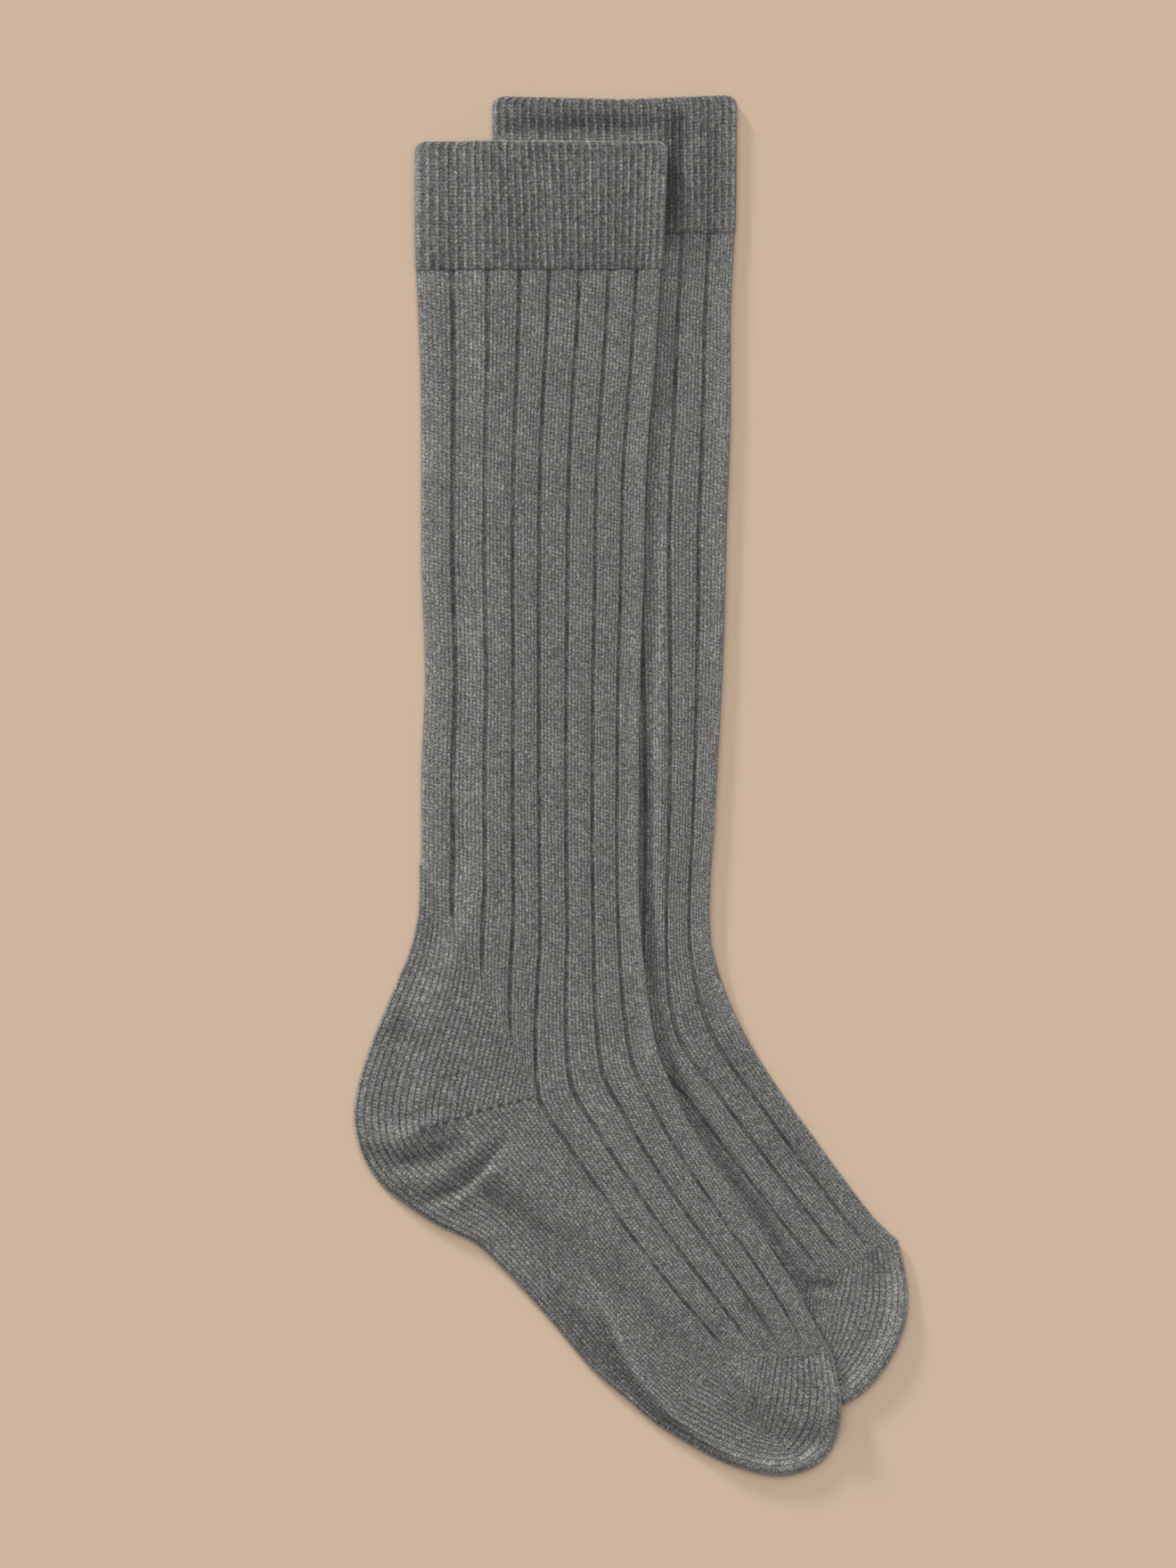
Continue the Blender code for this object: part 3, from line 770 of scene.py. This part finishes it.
def make_mesh(cloth, course_height):
    """The piece's mesh, with the wales and courses that its knit follows as attributes and a UV map."""
    rows, count = cloth.outer.points.shape[:2]
    inner_count = cloth.inner.points.shape[1]
    points = np.concatenate([cloth.outer.points.reshape(-1, 3), cloth.inner.points.reshape(-1, 3)])
    faces, rims = wall_faces(rows, count, inner_count, cloth.whole)
    mesh = bpy.data.meshes.new(cloth.name)
    mesh.from_pydata((points - OUTLINE_MIDDLE) * MM, [], faces + rims)
    mesh.shade_smooth()
    # Shading stays smooth over a cuff's lip. The other rims are hidden in seams, and are flat.
    rim_flat = np.zeros(len(mesh.polygons), dtype=bool)
    rim_flat[len(faces) + (len(rims) // 2 if cloth.piece == "cuff" else 0):] = True
    mesh.attributes.new("sharp_face", "BOOLEAN", "FACE").data.foreach_set("value", rim_flat)

    wales = np.concatenate([np.tile(face.wales, rows) for face in (cloth.outer, cloth.inner)]) * cloth.columns
    mesh.attributes.new("wale", "FLOAT", "POINT").data.foreach_set("value", wales)
    for name, field in FIELDS.items():
        values = np.concatenate([field(cloth).ravel(), np.zeros(rows * inner_count)])
        mesh.attributes.new(name, "FLOAT", "POINT").data.foreach_set("value", values)
    out = np.concatenate([cloth.outward.reshape(-1, 3), np.zeros((rows * inner_count, 3))])
    mesh.attributes.new("outward", "FLOAT_VECTOR", "POINT").data.foreach_set("vector", out.ravel())

    corners = np.empty(len(mesh.loops), dtype=int)
    mesh.loops.foreach_get("vertex_index", corners)
    starts = np.empty(len(mesh.polygons), dtype=int)
    mesh.polygons.foreach_get("loop_start", starts)
    sizes = np.diff(np.append(starts, len(mesh.loops)))
    u = wales[corners]
    if cloth.whole:  # the last face of a row ends at wale 128, not back at 0
        highest = np.repeat(np.maximum.reduceat(u, starts), sizes)
        u = np.where(highest - u > FRONT_WALE, u + NEEDLES, u)
    grid_rows = [np.repeat(np.arange(rows - 1), width - (not cloth.whole)) for width in (count, inner_count)]
    face_rows = np.concatenate([*grid_rows, np.repeat([0, rows - 2], len(rims) // 2)])
    turned = np.repeat(face_rows >= cloth.form.turn_row, sizes)
    outer_along, inner_along = cloth.form.along(cloth.outer), cloth.form.along(cloth.inner)
    before, after = (np.concatenate([a.ravel(), b.ravel()]) for a, b in zip(outer_along, inner_along))
    v = np.where(turned, after[corners], before[corners]) / course_height + cloth.sock.first_course
    uv = mesh.uv_layers.new(name="knit")
    uv.data.foreach_set("uv", np.column_stack([u, v]).ravel())
    return mesh


# Small helpers for node trees.


def add_node(tree, kind, settings=None, inputs=None):
    """Adds a node, sets its properties, and fills or links its inputs by name or number."""
    node = tree.nodes.new(kind)
    for name, value in (settings or {}).items():
        setattr(node, name, value)
    for name, value in (inputs or {}).items():
        socket = node.inputs[name]
        value = getattr(value, "socket", value)
        if isinstance(value, bpy.types.NodeSocket):
            tree.links.new(value, socket)
        else:
            socket.default_value = value
    return node


class Number:
    """A number in a node tree, on which plain arithmetic adds the nodes that work it out."""

    def __init__(self, socket):
        self.socket = socket

    def combined(self, operation, *others):
        """What a maths operation makes of this number and others."""
        inputs = dict(enumerate((self, *others)))
        node = add_node(self.socket.id_data, "ShaderNodeMath", {"operation": operation}, inputs)
        return Number(node.outputs[0])

    __add__ = partialmethod(combined, "ADD")
    __sub__ = partialmethod(combined, "SUBTRACT")
    __rsub__ = partialmethod(combined, "MULTIPLY_ADD", -1.0)  # 1 - x is x times -1, plus 1
    __mul__ = partialmethod(combined, "MULTIPLY")
    __truediv__ = partialmethod(combined, "DIVIDE")
    __pow__ = partialmethod(combined, "POWER")
    __abs__ = partialmethod(combined, "ABSOLUTE")
    __round__ = partialmethod(combined, "ROUND")
    __floor__ = partialmethod(combined, "FLOOR")


def hex_colour(text):
    """An sRGB hex colour as linear red, green, blue and alpha."""
    channels = [int(text[i : i + 2], 16) / 255 for i in (1, 3, 5)]
    return (*(c / 12.92 if c <= 0.04045 else ((c + 0.055) / 1.055) ** 2.4 for c in channels), 1.0)


# The knit's relief, as Geometry Nodes.


RELIEF_SIZES = (
    "Column relief", "Rib depth", "Rib crown", "Rib wales", "Groove half width", "Seam depth", "Eyelet depth"
)


def knit_relief_tree():
    """Raises columns of stitches, sinks the ribs' purl wales, and draws the cloth in at seams and holes."""
    tree = bpy.data.node_groups.new("Knit relief", "GeometryNodeTree")
    sockets = [("Cloth", "Geometry"), *((name, "Float") for name in RELIEF_SIZES), ("Knit", "Material")]
    for name, kind in sockets:
        tree.interface.new_socket(name, in_out="INPUT", socket_type=f"NodeSocket{kind}")
    tree.interface.new_socket("Cloth", in_out="OUTPUT", socket_type="NodeSocketGeometry")
    given = tree.nodes.new("NodeGroupInput").outputs
    size = {name: Number(given[name]) for name in RELIEF_SIZES}

    point = {}
    for name in ("wale", "relief", "ribbing", "pinch", "eyelet", "outward"):
        kind = "FLOAT_VECTOR" if name == "outward" else "FLOAT"
        node = add_node(tree, "GeometryNodeInputNamedAttribute", {"data_type": kind}, {"Name": name})
        point[name] = Number(node.outputs["Attribute"])

    # Across one wale: 0 at the middle of its column and 1 in the valley beside it.
    wale = point["wale"]
    aside = abs(wale - round(wale)) * 2
    columns = 1 - (1 - aside * aside) ** 0.5
    # Across a rib: how far the wale is from the nearest sunk one, up to half a rib.
    ribs = wale / size["Rib wales"]
    from_groove = abs(ribs - round(ribs))
    slope = (from_groove * size["Rib wales"] / size["Groove half width"]).combined("MINIMUM", 1.0)
    dip = ((slope * math.pi).combined("COSINE") * 0.5 + 0.5) * point["ribbing"]
    depths = (
        (columns, "Column relief"),
        (dip, "Rib depth"),
        ((1 - from_groove * 2) ** 2 * point["ribbing"], "Rib crown"),
        (point["pinch"], "Seam depth"),
        (point["eyelet"], "Eyelet depth"),
    )
    depth = 0.0
    for share, name in depths:
        depth = share * size[name] + depth
    inwards = {0: point["outward"], "Scale": depth * point["relief"] * -1}
    offset = add_node(tree, "ShaderNodeVectorMath", {"operation": "SCALE"}, inwards).outputs[0]
    cloth = given["Cloth"]
    steps = (
        ("GeometryNodeSetPosition", {"Offset": offset}),
        ("GeometryNodeStoreNamedAttribute", {"Name": "groove", "Value": dip}),
        ("GeometryNodeRealizeInstances", {}),
        ("GeometryNodeSetMaterial", {"Material": given["Knit"]}),
    )
    for kind, inputs in steps:
        cloth = add_node(tree, kind, None, {"Geometry": cloth, **inputs}).outputs[0]
    tree.links.new(cloth, tree.nodes.new("NodeGroupOutput").inputs[0])
    return tree


def apply_tree(obj, tree, values):
    """Runs a tree on an object and keeps the result as its plain mesh."""
    modifier = obj.modifiers.new(tree.name, "NODES")
    modifier.node_group = tree
    for item in tree.interface.items_tree:
        if item.in_out == "INPUT" and item.name in values:
            modifier[item.identifier] = values[item.name]
    depsgraph = bpy.context.evaluated_depsgraph_get()
    mesh = bpy.data.meshes.new_from_object(
        obj.evaluated_get(depsgraph), preserve_all_data_layers=True, depsgraph=depsgraph
    )
    obj.modifiers.remove(modifier)
    old = obj.data
    obj.data = mesh
    bpy.data.meshes.remove(old)
    mesh.name = obj.name


# Materials.

# Noise in the yarn: its scale per wale and per course, and its detail.
STREAKS = (0.8, 0.1, 2.0)
CLOUDS = (0.11, 0.07, 2.0)
WARM_PATCHES = (0.3, 0.2, 2.0)
DARK_PATCHES = (0.9, 0.12, 3.0)
STREAK_SHADE = 1.5  # how much streaks change the darkness of valleys
PATCH_SHADE = 2.2  # and dark patches that of grooves and seams
LEG_ROUNDING = 0.8  # how far a leg of a stitch's V falls off at its sides
LEG_STEP = 0.25  # wales by which the two legs of a stitch are told apart
GAP_POWER = 1.5  # how sharply the dark gap beside a stitch starts
GROOVE_POWER = 1.1  # and that in a sunk wale
VALLEY_SHARE = 0.9  # of the valleys' darkness that plain cloth shows
RIB_COVER = 0.1  # of it that ribs hide
SHEEN_COVER = 0.7  # of it that the painted sheen at folds hides


def new_material(name):
    material = bpy.data.materials.new(name)
    material.use_nodes = True
    return material, material.node_tree, material.node_tree.nodes["Principled BSDF"]


def marl_knit(material_name, yarn, slant, stitch_bump):
    """Marl yarn: dark and pale fibres spun together, so that each stitch has its own grey.

    Matt fibres with a short nap, which is paler at grazing angles. The stitches are V shapes,
    one wale wide and one course high. Shade in the gaps between them and the valleys between
    wales, and in sunk wales, seams, holes and creases, is painted into the colour, and so are
    light on ridges and a sheen at folds.
    Single fibres are too fine to show, and are drawn as coarser clumps of like ones.
    """
    material, tree, shader = new_material(material_name)
    uv = add_node(tree, "ShaderNodeUVMap", {"uv_map": "knit"}).outputs[0]
    u, v = map(Number, add_node(tree, "ShaderNodeSeparateXYZ", None, {0: uv}).outputs[:2])
    wale = round(u)
    across = u - wale
    aside = abs(across) * 2
    course = v - aside * slant
    row = math.floor(course)

    # A stitch's height: round along the wale, and round across each leg of its V.
    lobe = (course - row) * 2 - 1
    leg = aside * 2 - 1
    height = (1 - lobe * lobe) * (1 - leg * leg * LEG_ROUNDING)

    def mottle(across_scale, along_scale, detail):
        """Noise about 0 that runs on from stitch to stitch, at scales per wale and per course."""
        scaled = {"Vector": uv, "Scale": (across_scale, along_scale, 1.0)}
        place = add_node(tree, "ShaderNodeMapping", None, scaled).outputs[0]
        inputs = {"Vector": place, "Scale": 1.0, "Detail": detail}
        noise = add_node(tree, "ShaderNodeTexNoise", {"noise_dimensions": "2D"}, inputs)
        return Number(noise.outputs["Fac"]) - 0.5

    def one_each(*place):
        """An even spread of numbers about 0, one for each place."""
        joined = add_node(tree, "ShaderNodeCombineXYZ", None, dict(enumerate(place))).outputs[0]
        noise = add_node(tree, "ShaderNodeTexWhiteNoise", {"noise_dimensions": "2D"}, {"Vector": joined})
        return Number(noise.outputs["Value"]) - 0.5

    point = {}
    for name in ("ribbing", "rim", "groove", "pinch", "eyelet", "hollow"):
        node = add_node(tree, "ShaderNodeAttribute", {"attribute_name": name})
        point[name] = Number(node.outputs["Fac"])

    # Each stitch has its own grey, and so has each leg; fibres, streaks and clouds run across them.
    side = across.combined("SIGN") * LEG_STEP + wale
    streaks = mottle(*STREAKS)
    place = add_node(tree, "ShaderNodeTexCoord").outputs["Object"]
    clumps = {"Vector": place, "Scale": 1 / (yarn.clump_size * MM), "Detail": 2.0}
    fibres = Number(add_node(tree, "ShaderNodeTexNoise", None, clumps).outputs["Fac"]) - 0.5
    greys = (
        # painted sheen at folds and a cuff's top edge
        (point["rim"], yarn.painted_sheen_paleness),
        (one_each(wale, row), yarn.stitch_contrast),
        (one_each(side, row), yarn.stitch_contrast),
        (fibres, yarn.fibre_contrast),
        (streaks, yarn.streak_contrast),
        (mottle(*CLOUDS), yarn.cloud_contrast),
    )
    tone = 0.5
    for noise, contrast in greys:
        tone = noise * contrast + tone
    ramp = add_node(tree, "ShaderNodeValToRGB", None, {"Fac": tone})
    stops = ramp.color_ramp.elements
    stops[0].position, stops[0].color = 0.0, (*yarn.dark_fibre, 1)
    stops[1].position, stops[1].color = 1.0, (*yarn.pale_fibre, 1)
    stops.new(0.5).color = (*yarn.grey_fibre, 1)

    # Fibres of faintly different hue make some patches warmer and some cooler.
    warmth = mottle(*WARM_PATCHES)
    tints = {0: warmth * yarn.hue_spread + 1, 1: 1.0, 2: warmth * (-2 * yarn.hue_spread) + 1}
    hue = add_node(tree, "ShaderNodeCombineXYZ", None, tints).outputs[0]

    # Gaps between stitches, valleys between wales, sunk wales, seams, holes and creases get little
    # light, so their shade is painted into the colour, as is light on ridges and an even shade over
    # the heel. Ribs draw their wales together and the painted sheen at folds covers them, which
    # hides valleys.
    uneven = streaks * STREAK_SHADE + 1
    patchy = mottle(*DARK_PATCHES) * PATCH_SHADE + 1
    hidden = point["ribbing"] * RIB_COVER + point["rim"] * SHEEN_COVER
    shades = (
        ((1 - height) ** GAP_POWER, yarn.gap_shade),
        (aside**2 * uneven * (VALLEY_SHARE - hidden), yarn.valley_shade),
        (point["groove"] ** GROOVE_POWER * patchy, yarn.groove_shade),
        (point["pinch"] * patchy, yarn.seam_shade),
        (point["eyelet"], yarn.hole_shade),
        (point["hollow"], yarn.hollow_shade),
    )
    light = 1.0
    for share, amount in shades:
        light = (1 - share * amount) * light
    tinted = {0: ramp.outputs["Color"], 1: hue}
    grey = add_node(tree, "ShaderNodeVectorMath", {"operation": "MULTIPLY"}, tinted).outputs[0]
    lit = {0: grey, "Scale": light}
    grey = add_node(tree, "ShaderNodeVectorMath", {"operation": "SCALE"}, lit).outputs[0]
    tree.links.new(grey, shader.inputs["Base Color"])
    raised = {"Strength": 1.0, "Distance": stitch_bump * MM, "Height": height}
    tree.links.new(add_node(tree, "ShaderNodeBump", None, raised).outputs[0], shader.inputs["Normal"])
    shader.inputs["Roughness"].default_value = 0.95
    shader.inputs["Specular IOR Level"].default_value = 0.2
    shader.inputs["Sheen Weight"].default_value = yarn.nap
    shader.inputs["Sheen Roughness"].default_value = 0.5
    return material


def paper(colour):
    """Matt paper backdrop: smooth and even, with no gloss."""
    material, tree, shader = new_material("Matt backdrop paper")
    shader.inputs["Base Color"].default_value = (*colour, 1)
    shader.inputs["Roughness"].default_value = 1.0
    shader.inputs["Specular IOR Level"].default_value = 0.0
    return material


# What a user would change.


def colour_setting(name, description, default):
    look = {"subtype": "COLOR", "size": 3, "min": 0, "max": 1, "default": hex_colour(default)[:3]}
    return FloatVectorProperty(name=name, description=description, **look)


def length_setting(name, description, millimetres):
    return FloatProperty(name=name, description=description, unit="LENGTH", default=millimetres * MM)


def factor_setting(name, description, default):
    return FloatProperty(name=name, description=description, subtype="FACTOR", min=0, max=1, default=default)


def plain_setting(name, description, default):
    return FloatProperty(name=name, description=description, default=default)


class KnitSettings(bpy.types.PropertyGroup):
    course_height: length_setting("Course height", "Height of one row of stitches", 1.4)
    column_relief: length_setting("Column relief", "How far a column of stitches stands out", 0.18)
    rib_depth: length_setting("Rib depth", "Depth of the grooves between the leg's ribs", 0.55)
    rib_crown: length_setting("Rib crown", "How far the middle of a broad rib stands above its sides", 0.3)
    cuff_rib_depth: length_setting("Cuff rib depth", "Depth of the grooves of the cuff's ribs", 0.55)
    seam_depth: length_setting("Seam depth", "How far a seam draws the cloth in", 0.25)
    eyelet_depth: length_setting("Hole depth", "Depth of the small holes along the heel's mitre", 0.4)
    stitch_bump: plain_setting("Stitch relief", "Relief of single stitches in the material, in mm", 0.2)


class YarnSettings(bpy.types.PropertyGroup):
    dark_fibre: colour_setting("Dark fibre", "Darkest grey of the marl yarn", "#2b2b2a")
    grey_fibre: colour_setting("Grey fibre", "Middle grey of the marl yarn", "#7d7c79")
    pale_fibre: colour_setting("Pale fibre", "Palest grey of the marl yarn", "#c6c5c1")
    clump_size: plain_setting("Clump size", "Size of clumps of like fibres, in mm", 0.9)
    stitch_contrast: plain_setting("Stitch contrast", "Spread of greys between stitches", 0.12)
    fibre_contrast: plain_setting("Fibre contrast", "Spread of greys within a stitch", 1.3)
    streak_contrast: plain_setting("Streak contrast", "Spread of greys between streaks", 0.2)
    cloud_contrast: plain_setting("Cloud contrast", "Spread of greys over a few ribs", 0.15)
    # Painted sheen that makes folds and a cuff's top edge paler
    painted_sheen_paleness: plain_setting("Rim paleness", "How much paler folds and edges are", 0.07)
    hue_spread: plain_setting("Hue spread", "How warm and cool the yarn's greys are", 0.05)
    # Painted shade that darkens the yarn's colour between stitches, between wales, in sunk wales, beside
    # seams, in holes and in creases; the last also paints light on ridges and shade over the heel
    gap_shade: factor_setting("Gap shade", "Darkness between stitches", 0.3)
    valley_shade: factor_setting("Valley shade", "Darkness between wales", 0.68)
    groove_shade: factor_setting("Groove shade", "Darkness of the sunk wales", 0.6)
    seam_shade: factor_setting("Seam shade", "Darkness beside a seam", 0.3)
    hole_shade: factor_setting("Hole shade", "Darkness of small holes", 0.8)
    hollow_shade: factor_setting("Hollow shade", "Darkness of creases", 0.6)
    nap: factor_setting("Nap", "Paleness of the nap at grazing angles", 0.35)


class StageSettings(bpy.types.PropertyGroup):
    backdrop: colour_setting("Backdrop", "Colour of the paper under the socks", "#cfb79f")
    camera_height: length_setting("Camera height", "From the paper to the camera", 2500)
    view_width: length_setting("View width", "Width of the paper that the picture shows", 455.4)
    key_share: factor_setting("Key light", "Share of the paper's light from the upper left", 0.19)
    top_share: factor_setting("Top light", "Share of the paper's light from the top", 0.5)


# Operators.


def build_cloths(piece):
    """The cloth of one piece on both socks."""
    for sock, below in ((LOWER_SOCK, None), (UPPER_SOCK, Lines(LOWER_SOCK).outline())):
        lines = Lines(sock)
        leg, toe = lines.leg_rows, lines.leg_rows + lines.foot_rows
        heel = PocketPlan(lines, leg, lines.foot_start, lines.side[leg], sock.heel_turn, sock)
        foot = Tube(tube_rows(lines, leg, toe, lines.foot_start - leg), sock, heel, 0)
        lip = None
        if piece == "cuff":
            sections, lip = cuff_rows(lines)
            form = Tube(sections, sock)
        elif piece == "leg":
            form = Tube(tube_rows(lines, 1, leg, 0), sock, heel, -1)
        elif piece == "toe":
            corner = lines.side[-1]
            form = PocketPlan(lines, lines.toe_start, lines.toe_end, corner, sock.toe_turn, sock, foot)
        else:
            form = heel if piece == "heel" else foot
        yield Cloth(sock, piece, form, below, lip)


def sheet_size(cloth):
    """The girth and length that a piece is knitted to, and its area all round, in metres."""
    points = cloth.outer.points
    around = np.concatenate([points, points[:, :1]], axis=1) if cloth.whole else points
    girths = run_lengths(around.transpose(1, 0, 2))[-1]
    girth = np.median(girths) if cloth.whole else girths.max()
    longest = run_lengths(points)[-1].max()
    diagonals = around[1:, 1:] - around[:-1, :-1], around[1:, :-1] - around[:-1, 1:]
    area = np.linalg.norm(np.cross(*diagonals), axis=2).sum() / 2
    return (girth * MM, longest * MM), area * MM * MM


def dress(cloth, material, tree, values, course_height):
    """Makes the piece, knits its relief, and puts it in place of its solid."""
    obj = bpy.data.objects.new(cloth.name, make_mesh(cloth, course_height))
    bpy.context.scene.collection.objects.link(obj)
    apply_tree(obj, tree, {**values, "Knit": material})
    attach(obj, "root")
    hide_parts(cloth.node)
    flat, area = sheet_size(cloth)


def jersey(scene):
    """The knit's material, made once."""
    made = bpy.data.materials.get(JERSEY)
    return made or marl_knit(JERSEY, scene.sock_yarn, STITCH_SLANT, scene.sock_knit.stitch_bump)


class PieceOperator:
    """Shared by the operators that knit one piece of both socks."""

    bl_options = {"REGISTER", "UNDO"}
    piece = ""

    def execute(self, context):
        knit = context.scene.sock_knit
        cuff = self.piece == "cuff"
        values = {
            "Column relief": knit.column_relief,
            "Rib depth": knit.cuff_rib_depth if cuff else knit.rib_depth,
            "Rib crown": 0.0 if cuff else knit.rib_crown,
            "Rib wales": float(CUFF_RIB_WALES if cuff else RIB_WALES),
            "Groove half width": CUFF_GROOVE_WALES if cuff else GROOVE_WALES,
            "Seam depth": knit.seam_depth,
            "Eyelet depth": knit.eyelet_depth,
        }
        relief = bpy.data.node_groups.get("Knit relief") or knit_relief_tree()
        for cloth in build_cloths(self.piece):
            dress(cloth, jersey(context.scene), relief, values, knit.course_height / MM)
        return {"FINISHED"}


class SOCKS_OT_cuffs(PieceOperator, bpy.types.Operator):
    """Knit both cuffs in 1x1 rib"""

    bl_idname = "socks.cuffs"
    bl_label = "Cuffs"
    piece = "cuff"


class SOCKS_OT_legs(PieceOperator, bpy.types.Operator):
    """Knit both legs in 7x1 broad rib"""

    bl_idname = "socks.legs"
    bl_label = "Legs"
    piece = "leg"


class SOCKS_OT_heels(PieceOperator, bpy.types.Operator):
    """Knit both heel pockets, their wales turned at the mitre"""

    bl_idname = "socks.heels"
    bl_label = "Heels"
    piece = "heel"


class SOCKS_OT_feet(PieceOperator, bpy.types.Operator):
    """Knit both feet, with plain soles and ribbed insteps"""

    bl_idname = "socks.feet"
    bl_label = "Feet"
    piece = "foot"


class SOCKS_OT_toes(PieceOperator, bpy.types.Operator):
    """Knit both toe pockets, closed by the toe seam"""

    bl_idname = "socks.toes"
    bl_label = "Toes"
    piece = "toe"


class Lamp(NamedTuple):
    """A broad lamp far away, as angles seen from the paper, in degrees."""

    name: str
    direction: float  # turned from +X towards +Y
    elevation: float
    width: float


KEY_LIGHT = Lamp("key", direction=124, elevation=13.5, width=8)
TOP_LIGHT = Lamp("top", direction=95, elevation=62, width=70)
# In metres, apart from the sensor, which is in millimetres.
PAPER_HALF = 3.0
PAPER_HEIGHT = -0.00005  # just under the cloth
VIEW_MIDDLE = (-0.01671, 0.00067)
FOCUS_HEIGHT = 0.003  # at which the picture has its stated width
SENSOR_WIDTH = 36


def sun(lamp, share):
    """A lamp that gives a share of the light under which the paper shows its own colour."""
    direction, elevation, width = map(math.radians, lamp[1:])
    light = bpy.data.lights.new(lamp.name, "SUN")
    light.energy = share * math.pi / math.sin(elevation)
    light.angle = width
    obj = bpy.data.objects.new(lamp.name, light)
    obj.rotation_euler = (math.pi / 2 - elevation, 0, direction + math.pi / 2)
    return obj


class SOCKS_OT_stage(bpy.types.Operator):
    """Lay the backdrop, and set the lights and the camera"""

    bl_idname = "socks.stage"
    bl_label = "Stage"
    bl_options = {"REGISTER", "UNDO"}

    def execute(self, context):
        scene = context.scene
        settings = scene.sock_stage
        mesh = bpy.data.meshes.new("backdrop")
        sides = (-PAPER_HALF, PAPER_HALF)
        corners = [(x, y, PAPER_HEIGHT) for x in sides for y in sides]
        mesh.from_pydata(corners, [], [(0, 2, 3, 1)])
        mesh.materials.append(paper(settings.backdrop))
        floor = bpy.data.objects.new("backdrop", mesh)
        scene.collection.objects.link(floor)

        camera = bpy.data.cameras.new("camera")
        camera.sensor_fit = "HORIZONTAL"
        camera.sensor_width = SENSOR_WIDTH
        camera.lens = SENSOR_WIDTH * (settings.camera_height - FOCUS_HEIGHT) / settings.view_width
        camera.clip_end = 10
        eye = bpy.data.objects.new("camera", camera)
        eye.location = (*VIEW_MIDDLE, settings.camera_height)
        scene.collection.objects.link(eye)
        scene.camera = eye

        for lamp, share in ((KEY_LIGHT, settings.key_share), (TOP_LIGHT, settings.top_share)):
            scene.collection.objects.link(sun(lamp, share))
        world = bpy.data.worlds.new("sky")
        world.use_nodes = True
        sky = world.node_tree.nodes["Background"].inputs
        sky["Strength"].default_value = 1 - settings.key_share - settings.top_share
        sky["Color"].default_value = hex_colour("#ffffff")
        scene.world = world
        scene.view_settings.view_transform = "Standard"
        return {"FINISHED"}


class SOCKS_PT_panel(bpy.types.Panel):
    """Shows the settings, and the steps that make the pair"""

    bl_idname = "SOCKS_PT_panel"
    bl_label = "Knee-high socks"
    bl_space_type = "VIEW_3D"
    bl_region_type = "UI"
    bl_category = "Socks"

    def draw(self, context):
        for name in SETTINGS:
            group = getattr(context.scene, name)
            box = self.layout.box()
            for setting in group.__annotations__:
                box.prop(group, setting)
        for operator in STEPS:
            self.layout.operator(operator.bl_idname)


STEPS = (SOCKS_OT_cuffs, SOCKS_OT_legs, SOCKS_OT_heels, SOCKS_OT_feet, SOCKS_OT_toes, SOCKS_OT_stage)
SETTINGS = {"sock_knit": KnitSettings, "sock_yarn": YarnSettings, "sock_stage": StageSettings}


def register():
    for thing in (*SETTINGS.values(), *STEPS, SOCKS_PT_panel):
        bpy.utils.register_class(thing)
    for name, group in SETTINGS.items():
        setattr(bpy.types.Scene, name, PointerProperty(type=group))


def unregister():
    for name in SETTINGS:
        delattr(bpy.types.Scene, name)
    for thing in (SOCKS_PT_panel, *STEPS[::-1], *SETTINGS.values()):
        bpy.utils.unregister_class(thing)


def main():
    register()
    bpy.ops.socks.cuffs()
    bpy.ops.socks.legs()
    bpy.ops.socks.heels()
    bpy.ops.socks.feet()
    bpy.ops.socks.toes()
    bpy.ops.socks.stage()


if __name__ == "__main__":
    main()
